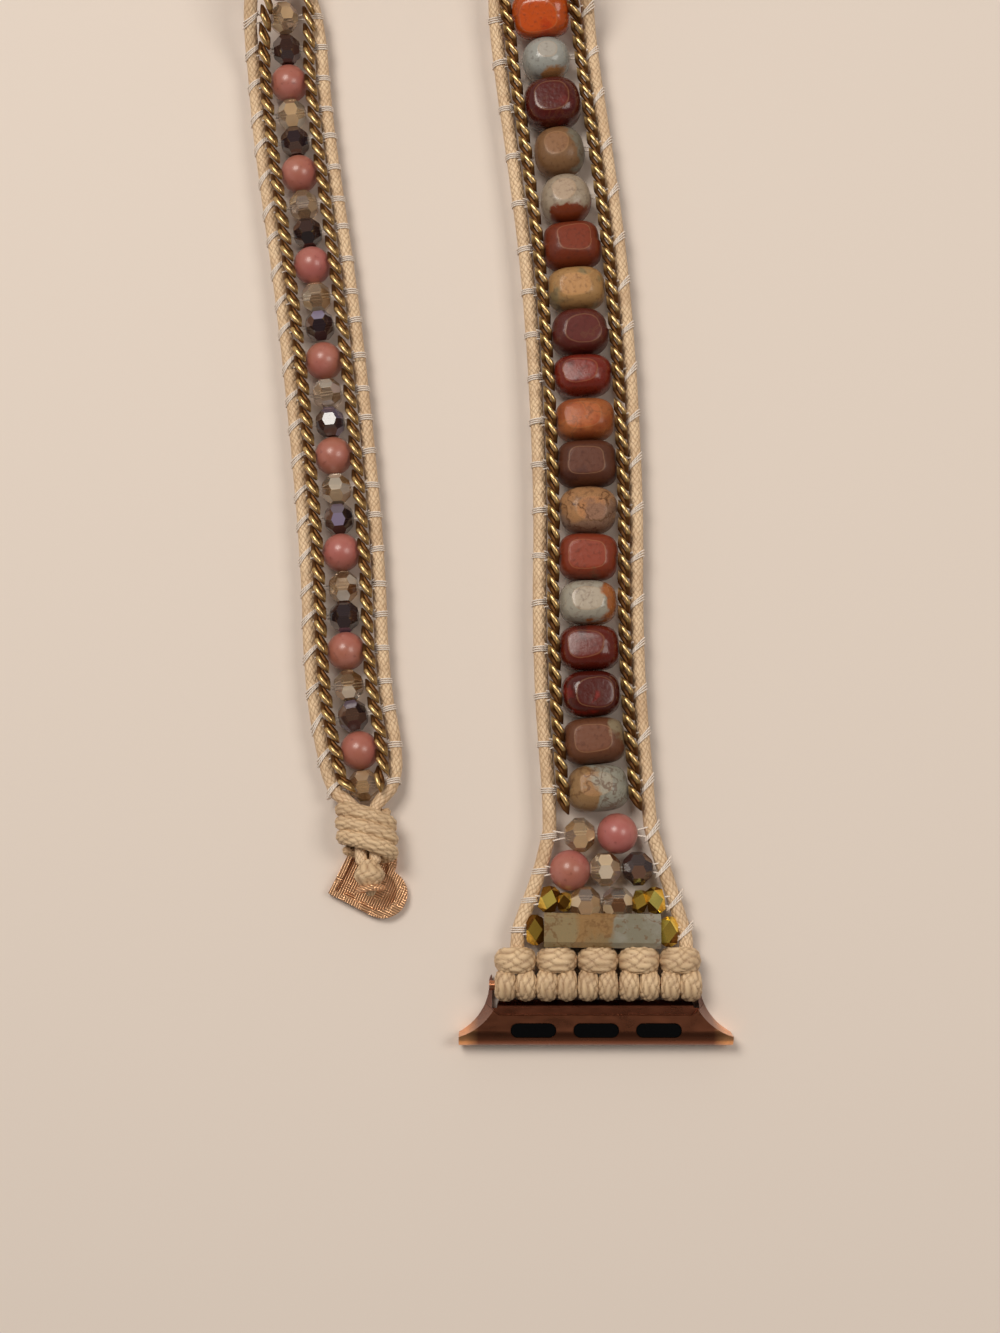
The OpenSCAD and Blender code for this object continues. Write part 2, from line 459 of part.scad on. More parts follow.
// A square on its corner with a round lobe on each upper side
module heart(r) { for (e = [-1, 1]) translate([e, 1] * r / sqrt(2)) circle(r = r, $fn = 48); rotate(45) square(2 * r, center = true); }
module heart_button() color("peru") {
    p = mid(s_shank);
    translate([p[0] - 1.4, p[1] + 0.9, 0]) rotate(-72) difference() {
        linear_extrude(heart_h) heart(lobe_r);
        translate([0, 0, heart_h / 2]) linear_extrude(heart_h) heart(lobe_r - heart_rim);
    }
    // wire shank round the cord, its foot in the heart
    at(s_shank) rotate([90, 0, 0]) rotate_extrude($fn = 40) translate([shank_r, 0]) circle(d = shank_d, $fn = 20);
    translate([p[0], p[1], heart_h / 4]) cylinder(h = p[2] - shank_r - heart_h / 4, d = shank_d * 1.5, $fn = 24);
}

adapter_body();
adapter_bar();
friction_pads();
lock_button();
lock_spring();
hitch_cord();
fan_threads();
fan_pink();
fan_crystals();
fan_dark();
fan_gold();
stone_bar();
strap1_nuggets();
strap1_cords();
strap1_chains();
strap1_threads();
strap2_nuggets();
strap2_cords();
strap2_chains();
strap2_threads();
strap3_nuggets();
strap3_cords();
strap3_chains();
strap3_threads();
strap4_pink();
strap4_crystals();
strap4_dark();
strap4_cords();
strap4_chains();
strap4_threads();
strap5_pink();
strap5_crystals();
strap5_dark();
strap5_cords();
strap5_chains();
strap5_threads();
strap6_pink();
strap6_crystals();
strap6_dark();
strap6_cords();
strap6_chains();
strap6_threads();
strap7_pink();
strap7_crystals();
strap7_dark();
strap7_cords();
strap7_chains();
strap7_threads();
wrap_knot();
loop_cord();
heart_button();
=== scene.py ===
import math
import bpy
import bmesh
import numpy as np
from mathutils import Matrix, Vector


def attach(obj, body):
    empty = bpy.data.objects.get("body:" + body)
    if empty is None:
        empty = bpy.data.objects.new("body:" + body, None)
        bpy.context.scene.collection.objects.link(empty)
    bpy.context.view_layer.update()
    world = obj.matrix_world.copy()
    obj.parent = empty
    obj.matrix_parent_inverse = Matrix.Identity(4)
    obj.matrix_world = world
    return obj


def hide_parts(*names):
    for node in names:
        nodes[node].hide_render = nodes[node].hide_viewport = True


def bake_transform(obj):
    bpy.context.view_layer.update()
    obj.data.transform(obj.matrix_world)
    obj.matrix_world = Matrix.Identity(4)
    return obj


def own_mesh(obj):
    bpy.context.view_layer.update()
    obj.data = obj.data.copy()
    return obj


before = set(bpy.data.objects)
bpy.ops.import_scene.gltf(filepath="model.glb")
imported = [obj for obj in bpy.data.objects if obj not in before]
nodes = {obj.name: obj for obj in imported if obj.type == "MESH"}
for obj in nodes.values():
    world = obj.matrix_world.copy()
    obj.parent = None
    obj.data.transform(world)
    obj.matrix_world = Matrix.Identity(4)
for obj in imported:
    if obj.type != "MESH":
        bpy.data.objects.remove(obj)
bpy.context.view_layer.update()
print("frame loaded:", len(nodes), "nodes")

# the strap's route, in millimetres, as on the solids
strap = {
    "barY": 5.0, "barZ": 2.6, "barBeadY": 11.75, "fanRows": [4.15, 4.0, 4.5], "wideX": 6.25, "narrowX": 4.6,
    "hitches": 5, "hitchPitch": 5.15,
    "nuggetL": [5.6, 5.6, 5.6, 5.5, 5.5, 5.7, 5.8, 5.8, 5.2, 5.2, 5.8, 5.4, 5.9, 6.3, 6.3, 6.6, 5.4, 5.8, 5.8, 5.6,
                5.4],
    "nuggetH": 6.0, "nuggetGap": 0.42, "twistGap": 0.8, "jointGap": 0.8, "firstNugget": 2.5, "wideCuts": [9, 18],
    "pinkD": 5.0, "crystalD": 3.8, "narrowGap": 0.13, "narrowJointGap": 0.45, "smallCount": 40,
    "smallCuts": [6, 12, 26],
    "bendR": 17.2, "lean": 7.0, "twistL": 24.0, "wrapOut": 1.31,
}
legOut = [[0.75, strap["barY"]], [0.85, 11.7], [0.9, 18.6], [0.5, 29], [-0.3, 41], [-0.6, 52.6], [-0.5, 65], [-0.8, 77],
          [-1.4, 89], [-2.4, 101.6], [-4, 115], [-5.6, 127], [-7, 140], [-9, 154]]
leanRad = math.radians(strap["lean"])
leanAim = np.array([math.cos(leanRad), math.sin(leanRad)])
bendMid = np.array(legOut[-1]) - strap["bendR"] * leanAim
bendAt = np.radians(np.arange(22.5, 158, 22.5)) + leanRad
bendPts = bendMid + strap["bendR"] * np.stack([np.cos(bendAt), np.sin(bendAt)], 1)
legBack = [list(bendMid - strap["bendR"] * leanAim), [-41.5, 137], [-40, 121], [-38.3, 108.6],
           [-37, 100], [-35.9, 92], [-34.8, 83], [-33.8, 74], [-32.9, 65], [-32.2, 56], [-31.8, 48], [-31.1, 41],
           [-29.9, 34.6],
           [-29.2, 29], [-28.7, 23], [-28.1, 16], [-27.5, 9]]
route = np.array(legOut + bendPts.tolist() + legBack)
steps = 12      # points to each stretch of the curve


def routeCurve():
    # each stretch is a cubic through its two middle points, aimed by the outer two
    p = np.vstack([route[:1], route, route[-1:]])
    t = (np.arange(steps) / steps)[None, :, None]
    a, b, c, d = p[:-3, None], p[1:-2, None], p[2:-1, None], p[3:, None]
    q = 0.5 * (2 * b + (c - a) * t + (2 * a - 5 * b + 4 * c - d) * t ** 2 + (3 * b - a - 3 * c + d) * t ** 3)
    return np.vstack([q.reshape(-1, 2), route[-1:]])


def between(stations, sizes, i):
    # middle of the gap before bead i
    return (stations[i - 1] + sizes[i - 1] / 2 + stations[i] - sizes[i] / 2) / 2


fine = routeCurve()
run = np.concatenate([[0], np.cumsum(np.linalg.norm(np.diff(fine, axis=0), axis=1))])
bend0 = run[(len(legOut) - 1) * steps]
bend1 = run[(len(legOut) + len(bendPts)) * steps]

# stations of the rows of beads, counted along the route from the bar
barBead = strap["barBeadY"] - strap["barY"]
row3 = barBead + strap["fanRows"][0]
row2 = row3 + strap["fanRows"][1]
row1 = row2 + strap["fanRows"][2]
nuggetL = np.array(strap["nuggetL"])
cutA, cutB = strap["wideCuts"]
gaps = [strap["jointGap"] if i in (cutA - 1, cutB - 1) else strap["twistGap"] if i >= cutB else strap["nuggetGap"]
        for i in range(len(nuggetL) - 1)]
nuggetS = (row1 + strap["firstNugget"] + nuggetL[0] / 2
           + np.concatenate([[0], np.cumsum((nuggetL[:-1] + nuggetL[1:]) / 2 + gaps)]))
jointA, jointB = [between(nuggetS, nuggetL, i) for i in strap["wideCuts"]]
jointC = nuggetS[-1] + nuggetL[-1] / 2 + strap["jointGap"] / 2
smallKind = (strap["smallCount"] - 1 - np.arange(strap["smallCount"])) % 3      # 0 clear, 1 pink, 2 dark
smallD = np.where(smallKind == 1, strap["pinkD"], strap["crystalD"])
smallGaps = np.array([strap["narrowJointGap"] if i + 1 in strap["smallCuts"] else strap["narrowGap"]
                      for i in range(strap["smallCount"] - 1)])
smallS = (jointC + strap["jointGap"] / 2 + smallD[0] / 2
          + np.concatenate([[0], np.cumsum((smallD[:-1] + smallD[1:]) / 2 + smallGaps)]))
jointD, jointE, jointF = [between(smallS, smallD, i) for i in strap["smallCuts"]]
lastS = smallS[-1]
jointG = lastS + strap["crystalD"] / 2 + strap["jointGap"] / 2
# the knot and its shank: the knot's length and lead, the loop's lead, the stopper's radius, bite and stand-off
knotPlace = {"long": 6.7, "lead": 0.55, "loop": 0.85, "stopper": 1.5, "bite": 0.2, "standOff": 0.4, "play": 0.1}
knotL = knotPlace["long"]
knotS = jointG + knotPlace["lead"] + knotL / 2
loopS = jointG + knotL + knotPlace["loop"]
bulgeS = loopS + knotPlace["stopper"] - knotPlace["bite"]
shankS = bulgeS + knotPlace["stopper"] + knotPlace["standOff"] + knotPlace["play"]
joints = [jointA, jointB, jointC, jointD, jointE, jointF, jointG]
bodyNames = ["strap1", "strap2", "strap3", "strap4", "strap5", "strap6", "strap7", "knot"]

hitchHalf = (strap["hitches"] - 1) / 2 * strap["hitchPitch"]
# half-width over the cords' centres, and height of the strap's middle, each as [station, value]
edgeTable = [[0, hitchHalf + 0.5], [4.4, hitchHalf + 0.4], [barBead, 10.45], [row3, 9], [row2, 7.65], [row1, 6.4],
             [nuggetS[0] - 1, strap["wideX"]],
             [jointC - 1, strap["wideX"]], [jointC + 5, strap["narrowX"]], [lastS + 0.6, strap["narrowX"]],
             [jointG, 1.9], [jointG + 0.9, 0.89]]
riseTable = [[0, strap["barZ"]], [barBead, 2.5], [row1, 2.95], [nuggetS[0] - 3, 3.02],
             [bend0 - strap["twistL"] - 8, 3.02],
             [bend0 - strap["twistL"] + 4, 3.17], [jointC, 3.0], [jointC + 5, 2.5], [jointG - 3, 2.5], [knotS, 3.6],
             [knotS + 3.2, 4.1], [knotS + 8, 4.2]]


def lookUp(s, table):
    t = np.array(table, float)
    return np.interp(s, t[:, 0], t[:, 1])


def unit(v):
    return v / np.linalg.norm(v, axis=-1, keepdims=True)


def squareTo(u, t):
    return unit(u - (u * t).sum(-1, keepdims=True) * t)


def turns(count):
    return 2 * np.pi * np.arange(count) / count


def ease(t):
    u = np.clip(t, 0, 1)
    return u * u * (3 - 2 * u)


def roll(s):
    return math.pi / 2 * (ease((s - bend0 + strap["twistL"]) / strap["twistL"]) - ease((s - bend1) / strap["twistL"]))


def edgeX(s):
    return lookUp(s, edgeTable)


def middle(s):
    # plan position by length along the route; height from the roll, so that the lower edge keeps to the table
    s = np.asarray(s, float)
    z = (edgeX(s) + strap["wrapOut"]) * np.sin(roll(s)) + lookUp(s, riseTable) * np.cos(roll(s))
    return np.stack([np.interp(s, run, fine[:, 0]), np.interp(s, run, fine[:, 1]), z], -1)


def frameAt(s):
    # side, along and outward directions of the strap at each station
    t = unit(middle(np.asarray(s) + 0.6) - middle(np.asarray(s) - 0.6))
    left = unit(np.cross([0.0, 0.0, 1.0], t))
    r = roll(np.asarray(s, float))[..., None]
    n = unit(np.cos(r) * np.cross(t, left) + np.sin(r) * left)
    return np.cross(t, n), t, n


def place(s, x=0.0, z=0.0):
    side, _, n = frameAt(s)
    return middle(s) + np.asarray(x)[..., None] * side + np.asarray(z)[..., None] * n


def bodyOf(s):
    return bodyNames[int(np.searchsorted(joints, s))]


# meshes from grids
def newObject(name, data):
    thing = bpy.data.objects.new(name, data)
    bpy.context.scene.collection.objects.link(thing)
    return thing


def shadeFacets(mesh, rng):
    shade = mesh.attributes.new("facet", "FLOAT", "FACE")
    shade.data.foreach_set("value", rng.uniform(0, 1, len(mesh.polygons)).astype(np.float32))


def gridMesh(name, grid, uv=None, loopAlong=False, attributes=None, smooth=True):
    # grid[shape, ring, point]: each ring closes on itself, each row of rings is capped or closes on itself
    k, n, m = grid.shape[:3]
    index = np.arange(k * n * m).reshape(k, n, m)
    rows = n if loopAlong else n - 1
    a, b = index[:, :rows], np.roll(index, -1, 1)[:, :rows]
    quads = np.stack([a, np.roll(a, -1, 2), np.roll(b, -1, 2), b], -1).reshape(-1, 4)
    loops = [quads.ravel()]
    sizes = [np.full(len(quads), 4)]
    if not loopAlong:
        loops += [index[:, 0, ::-1].ravel(), index[:, -1].ravel()]
        sizes += [np.full(k, m), np.full(k, m)]
    loops, sizes = np.concatenate(loops), np.concatenate(sizes)
    mesh = bpy.data.meshes.new(name)
    mesh.vertices.add(k * n * m)
    mesh.vertices.foreach_set("co", (grid.reshape(-1) / 1000).astype(np.float32))
    mesh.loops.add(len(loops))
    mesh.loops.foreach_set("vertex_index", loops.astype(np.int32))
    mesh.polygons.add(len(sizes))
    mesh.polygons.foreach_set("loop_start", np.concatenate([[0], np.cumsum(sizes)[:-1]]).astype(np.int32))
    mesh.polygons.foreach_set("loop_total", sizes.astype(np.int32))
    mesh.polygons.foreach_set("use_smooth", np.full(len(sizes), smooth))
    mesh.update(calc_edges=True)
    if uv is not None:      # uv[shape, ring] is a length; the other coordinate runs once round the ring
        u = np.broadcast_to(np.asarray(uv, float), (k, n))
        u2 = np.concatenate([u, 2 * u[:, -1:] - u[:, -2:-1]], 1)
        spanned = (k, rows, m)
        round0 = np.broadcast_to(np.arange(m) / m, spanned)
        low, high = [np.broadcast_to(q[..., None], spanned) for q in (u2[:, :rows], u2[:, 1:rows + 1])]
        corners = np.stack([np.stack([low, round0], -1), np.stack([low, round0 + 1 / m], -1),
                            np.stack([high, round0 + 1 / m], -1), np.stack([high, round0], -1)], 3).reshape(-1, 2)
        full = np.zeros((len(loops), 2), np.float32)
        full[:len(corners)] = corners
        mesh.uv_layers.new(name="along").data.foreach_set("uv", full.ravel())
    for key, values in (attributes or {}).items():
        values = np.asarray(values, np.float32)
        kind = "FLOAT_COLOR" if values.shape[-1] == 4 and values.ndim == 4 else "FLOAT"
        layer = mesh.attributes.new(key, kind, "POINT")
        layer.data.foreach_set("color" if kind == "FLOAT_COLOR" else "value", np.ascontiguousarray(values).ravel())
    return newObject(name, mesh)


def tubes(paths, first, radii, sides):
    # paths[shape, point]: a ring of two half-widths round each point, its first direction carried on square to the path
    t = unit(np.gradient(paths, axis=1))
    u = np.broadcast_to(first, paths.shape) if np.ndim(first) == 1 else first
    u = squareTo(u, t)
    v = np.cross(t, u)
    a = 2 * np.pi * (np.arange(sides) + 0.5) / sides
    radii = np.asarray(radii, float)
    ru, rv = (radii[..., 0], radii[..., 1]) if radii.ndim and radii.shape[-1] == 2 else (radii, radii)
    ru, rv = [np.broadcast_to(r, paths.shape[:2])[..., None, None] for r in (ru, rv)]
    return paths[:, :, None] + ru * np.cos(a)[:, None] * u[:, :, None] + rv * np.sin(a)[:, None] * v[:, :, None]


def closedTubes(path, centre, radius, sides):
    # a tube along each closed path, its rings begun on the side away from the centre
    t = unit(np.roll(path, -1, 1) - np.roll(path, 1, 1))
    u = squareTo(unit(path - centre), t)
    v = np.cross(t, u)
    a = turns(sides)[:, None]
    return path[:, :, None] + radius * (np.cos(a) * u[:, :, None] + np.sin(a) * v[:, :, None])


def ballGrid(rings, around, cap):
    # directions on a ball, ring by ring from one end of its bore to the other: (-cos u, sin u cos v, sin u sin v)
    u, v = np.linspace(cap, math.pi - cap, rings)[:, None], turns(around)
    return np.stack([-np.cos(u) + 0 * v, np.sin(u) * np.cos(v), np.sin(u) * np.sin(v)], -1)


def lengths(paths):
    step = np.linalg.norm(np.diff(paths, axis=1), axis=2)
    return np.concatenate([np.zeros((len(paths), 1)), np.cumsum(step, 1)], 1)


def plaited(paths, first, radii, sides, look, seed):
    # the weave as real relief: two families of slanted strands cross, the cell's parity picks the one on top,
    # and each point moves out by relief * (height - 1/2), where height is a rounded strand dipping at its ends
    grid = tubes(paths, first, radii, sides)
    along = lengths(paths)[:, :, None] / look["pitch"]
    turn = turns(sides)
    shift = np.random.default_rng(seed).uniform(0, 1, (len(paths), 1, 1))
    loose = (look["wander"] * (np.sin(2.1 * along + 9 * shift) * np.cos(turn + 5 * shift) + 0.5
                               * np.sin(4.7 * along + 2 * turn)) + shift)
    one, two = [along + e * look["columns"] * turn / (2 * np.pi) + loose for e in (1, -1)]
    over = (np.floor(one) + np.floor(two)) % 2 < 0.5
    across, length = np.where(over, two, one) % 1, np.where(over, one, two) % 1
    height = np.sin(np.pi * across) ** 0.7 * (0.4 + 0.6 * np.sin(np.pi * length) ** 0.35)
    return grid + look["relief"] * (height - 0.5)[..., None] * unit(grid - paths[:, :, None]), height


def finishPiece(thing, material, body=None, stands=()):
    thing.data.materials.clear()
    thing.data.materials.append(material)
    if stands:
        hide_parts(*stands)
    if body:
        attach(thing, body)
    return thing


# shader helpers
def tint(r, g, b):
    # a colour written as it looks on screen, 0 to 255
    c = np.array([r, g, b]) / 255
    return tuple(np.where(c < 0.04045, c / 12.92, ((c + 0.055) / 1.055) ** 2.4)) + (1.0,)


def setInputs(tree, node, inputs):
    for key, value in inputs.items():
        if isinstance(value, bpy.types.NodeSocket):
            tree.links.new(value, node.inputs[key])
        else:
            node.inputs[key].default_value = value
    return node


def addNode(tree, kind, inputs=None, **props):
    node = tree.nodes.new("ShaderNode" + kind)
    for key, value in props.items():
        setattr(node, key, value)
    return setInputs(tree, node, inputs or {})


def maths(tree, operation, *values):
    return addNode(tree, "Math", dict(enumerate(values)), operation=operation).outputs[0]


def times(tree, first, second):
    return maths(tree, "MULTIPLY", first, second)


def plus(tree, first, second):
    return maths(tree, "ADD", first, second)


def minus(tree, first, second):
    return maths(tree, "SUBTRACT", first, second)


def noise(tree, vector, scale, detail=2.0):
    return addNode(tree, "TexNoise", {"Vector": vector, "Scale": scale, "Detail": detail}).outputs[0]


def mixColour(tree, amount, first, second, mode="MIX"):
    return addNode(tree, "Mix", {0: amount, 6: first, 7: second}, data_type="RGBA", blend_type=mode).outputs[2]


def spread(tree, value, low, high, toLow=0.0, toHigh=1.0):
    return addNode(tree, "MapRange", {"Value": value, "From Min": low, "From Max": high, "To Min": toLow,
                                      "To Max": toHigh}).outputs[0]


def attribute(tree, name, output="Fac"):
    return addNode(tree, "Attribute", attribute_name=name).outputs[output]


def newGroup(name, inputs, outputs):
    group = bpy.data.node_groups.new(name, "ShaderNodeTree")
    for label, kind, value in inputs:
        socket = group.interface.new_socket(label, in_out="INPUT", socket_type="NodeSocket" + kind)
        if value is not None:
            socket.default_value = value
    for label, kind in outputs:
        group.interface.new_socket(label, in_out="OUTPUT", socket_type="NodeSocket" + kind)
    return group, group.nodes.new("NodeGroupInput").outputs, group.nodes.new("NodeGroupOutput").inputs


def useGroup(tree, group, inputs):
    node = tree.nodes.new("ShaderNodeGroup")
    node.node_tree = group
    return setInputs(tree, node, inputs).outputs


def newMaterial(name, **sockets):
    material = bpy.data.materials.new(name)
    material.use_nodes = True
    tree = material.node_tree
    shader = tree.nodes["Principled BSDF"]
    for key, value in sockets.items():
        shader.inputs[key.replace("_", " ")].default_value = value
    return material, tree, shader.inputs


def axes(tree, vector):
    return addNode(tree, "SeparateXYZ", {0: vector}).outputs


def alongCord(tree):
    # how far along the cord, and how far round it
    return axes(tree, addNode(tree, "UVMap", uv_map="along").outputs[0])


def marksOn(tree, position, scale, stretch=(1.0, 1.0, 1.0)):
    return useGroup(tree, handled, {"Position": position, "Stretch": stretch, "Scale": scale})


def bumpFrom(tree, shader, height, distance, strength=1.0):
    bump = addNode(tree, "Bump", {"Height": height, "Distance": distance, "Strength": strength})
    tree.links.new(bump.outputs[0], shader["Normal"])


def braidGroup():
    # two families of slanted strands woven over and under: the cell's parity picks the strand that lies on top
    group, given, out = newGroup("plaitedStrands", [("Along", "Float", 0.0), ("Around", "Float", 0.0),
                                                    ("Pitch", "Float", 1.0), ("Columns", "Float", 4.0),
                                                    ("Wander", "Float", 0.12)],
                                 [("Height", "Float"), ("Groove", "Float"), ("Fibre", "Float")])
    along = maths(group, "DIVIDE", given["Along"], given["Pitch"])
    around = times(group, given["Around"], given["Columns"])
    loose = noise(group, addNode(group, "CombineXYZ", {"X": along, "Y": around}).outputs[0], 0.7)
    drift = times(group, minus(group, loose, 0.5), times(group, given["Wander"], 4.0))
    first = plus(group, plus(group, along, around), drift)
    second = plus(group, minus(group, along, around), drift)
    parity = maths(group, "MODULO",
                   plus(group, plus(group, maths(group, "FLOOR", first), maths(group, "FLOOR", second)), 200.0), 2.0)
    across = addNode(group, "Mix", {0: parity, 2: maths(group, "FRACT", second), 3: maths(group, "FRACT", first)},
                     data_type="FLOAT").outputs[0]
    length = addNode(group, "Mix", {0: parity, 2: maths(group, "FRACT", first), 3: maths(group, "FRACT", second)},
                     data_type="FLOAT").outputs[0]
    crown = maths(group, "POWER", maths(group, "SINE", times(group, across, math.pi)), 0.7)
    dip = maths(group, "POWER", maths(group, "SINE", times(group, length, math.pi)), 0.35)
    height = times(group, crown, plus(group, times(group, dip, 0.6), 0.4))
    thread = addNode(group, "CombineXYZ", {"X": times(group, across, 9.0), "Y": times(group, first, 0.8),
                                           "Z": times(group, second, 0.8)})
    fibre = noise(group, thread.outputs[0], 1.1, 3.0)
    group.links.new(plus(group, height, times(group, fibre, 0.3)), out["Height"])
    group.links.new(minus(group, 1.0, height), out["Groove"])
    group.links.new(fibre, out["Fibre"])
    return group


def veinGroup():
    # stone figure: warped noise for the patches, its level lines for the veins, finer noise for specks and pits
    group, given, out = newGroup("stoneFigure", [("Position", "Vector", None), ("Scale", "Float", 300.0),
                                                 ("Seed", "Float", 0.0)],
                                 [("Patch", "Float"), ("Vein", "Float"), ("Speck", "Float"), ("Crack", "Float")])
    warp = addNode(group, "TexNoise", {"Vector": given["Position"], "W": given["Seed"], "Scale": given["Scale"],
                                       "Detail": 3.0}, noise_dimensions="4D")
    bent = addNode(group, "VectorMath",
                   {0: addNode(group, "VectorMath", {0: warp.outputs["Color"], 3: 0.0016},
                               operation="SCALE").outputs[0], 1: given["Position"]}, operation="ADD")
    patch = addNode(group, "TexNoise", {"Vector": bent.outputs[0], "W": given["Seed"], "Scale": given["Scale"],
                                        "Detail": 4.0, "Roughness": 0.55}, noise_dimensions="4D").outputs[0]
    line = maths(group, "ABSOLUTE", minus(group, patch, 0.5))
    vein = addNode(group, "MapRange", {"Value": line, "From Min": 0.0, "From Max": 0.022, "To Min": 1.0,
                                       "To Max": 0.0}).outputs[0]
    speck = addNode(group, "TexNoise",
                    {"Vector": given["Position"], "W": given["Seed"], "Scale": times(group, given["Scale"], 7.0),
                     "Detail": 2.0}, noise_dimensions="4D").outputs[0]
    split = addNode(group, "TexVoronoi",
                    {"Vector": addNode(group, "VectorMath", {0: bent.outputs[0], 1: warp.outputs["Color"]},
                                       operation="ADD").outputs[0], "W": given["Seed"],
                                       "Scale": times(group, given["Scale"], 0.8)},
                    voronoi_dimensions="4D", feature="DISTANCE_TO_EDGE").outputs["Distance"]
    group.links.new(addNode(group, "MapRange", {"Value": split, "From Min": 0.0, "From Max": 0.045, "To Min": 1.0,
                                                "To Max": 0.0}).outputs[0], out["Crack"])
    group.links.new(patch, out["Patch"])
    group.links.new(vein, out["Vein"])
    group.links.new(speck, out["Speck"])
    return group


def polishGroup():
    # fine brushing and handling marks: stretched noise for the strokes, broad noise for dull places
    group, given, out = newGroup("handledMetal", [("Position", "Vector", None), ("Stretch", "Vector", (1.0, 1.0, 1.0)),
                                                  ("Scale", "Float", 900.0)],
                                 [("Stroke", "Float"), ("Dull", "Float")])
    pulled = addNode(group, "VectorMath", {0: given["Position"], 1: given["Stretch"]}, operation="MULTIPLY")
    stroke = noise(group, pulled.outputs[0], given["Scale"])
    dull = noise(group, given["Position"], 170.0, 3.0)
    group.links.new(stroke, out["Stroke"])
    group.links.new(dull, out["Dull"])
    return group


braid, figure, handled = braidGroup(), veinGroup(), polishGroup()


def objectCoordinates(tree):
    return addNode(tree, "TexCoord").outputs["Object"]


# materials
# the darker groove colour is painted shade in the grooves between the strands; it also colours the worn blotches
cordLook = {"light": tint(234, 203, 164), "groove": tint(176, 134, 94), "pitch": 0.95, "columns": 8.0,
            "depth": 0.00012, "wander": 0.3, "crevice": 1.6}


def cordMaterial(name, look):
    material, tree, shader = newMaterial(name, Roughness=0.6, Coat_Weight=0.12, Coat_Roughness=0.4)
    uv = alongCord(tree)
    plait = useGroup(tree, braid, {"Along": uv[0], "Around": uv[1], "Pitch": look["pitch"], "Columns": look["columns"],
                                   "Wander": look["wander"]})
    worn = noise(tree, objectCoordinates(tree), 260.0, 3.0)
    height, gap = plait["Height"], plait["Groove"]
    if "relief" in look:      # the weave is in the mesh, which brings its own height
        height, gap = plait["Fibre"], minus(tree, 1.0, attribute(tree, "plait"))
    # the grooves between the strands are drawn darker by this mask: painted shade in the weave's crevices
    groove = maths(tree, "POWER", gap, look["crevice"])
    colour = mixColour(tree, groove, look["light"], look["groove"])
    # worn blotches, real wear, in the same darker colour
    colour = mixColour(tree, spread(tree, worn, 0.4, 0.7, 0.0, 0.5), colour, look["groove"])
    colour = mixColour(tree, spread(tree, plait["Fibre"], 0.45, 0.8, 0.0, 0.25), colour, tint(245, 226, 196))
    tree.links.new(colour, shader["Base Color"])
    tree.links.new(spread(tree, plait["Fibre"], 0.3, 0.7, 0.5, 0.72), shader["Roughness"])
    bumpFrom(tree, shader, height, look["depth"], 0.8)
    return material


waxedCord = cordMaterial("waxedCord", cordLook)
# here too the darker groove colour is painted shade in the grooves between the strands
fatLook = {"light": tint(226, 194, 152), "groove": tint(146, 108, 74), "pitch": 1.6, "columns": 8, "depth": 0.00012,
           "wander": 0.3, "crevice": 1.3, "relief": 0.2}
fatCord = cordMaterial("plaitedKnotCord", fatLook)


# the dark colour is painted shade in the valleys between the plies; the light one is the thread's own colour
threadLook = {"ply": 9.0, "dark": tint(206, 188, 172), "light": tint(246, 234, 222), "depth": 0.00003}


def threadMaterial():
    material, tree, shader = newMaterial("whiteThread", Roughness=0.7)
    uv = alongCord(tree)
    ply = maths(tree, "ABSOLUTE", maths(tree, "SINE", plus(tree, times(tree, uv[0], threadLook["ply"]),
        times(tree, uv[1], 6.283))))
    # the valleys between the plies are drawn darker: painted shade in the twist
    tree.links.new(mixColour(tree, ply, threadLook["dark"], threadLook["light"]), shader["Base Color"])
    bumpFrom(tree, shader, ply, threadLook["depth"])
    return material


whiteThread = threadMaterial()


stoneLook = {"scale": 260.0, "depth": 0.00009, "crack": tint(76, 38, 28), "vein": tint(112, 74, 50),
             "speck": tint(62, 28, 20),
             "rim": tint(226, 190, 160), "wash": tint(236, 214, 182)}


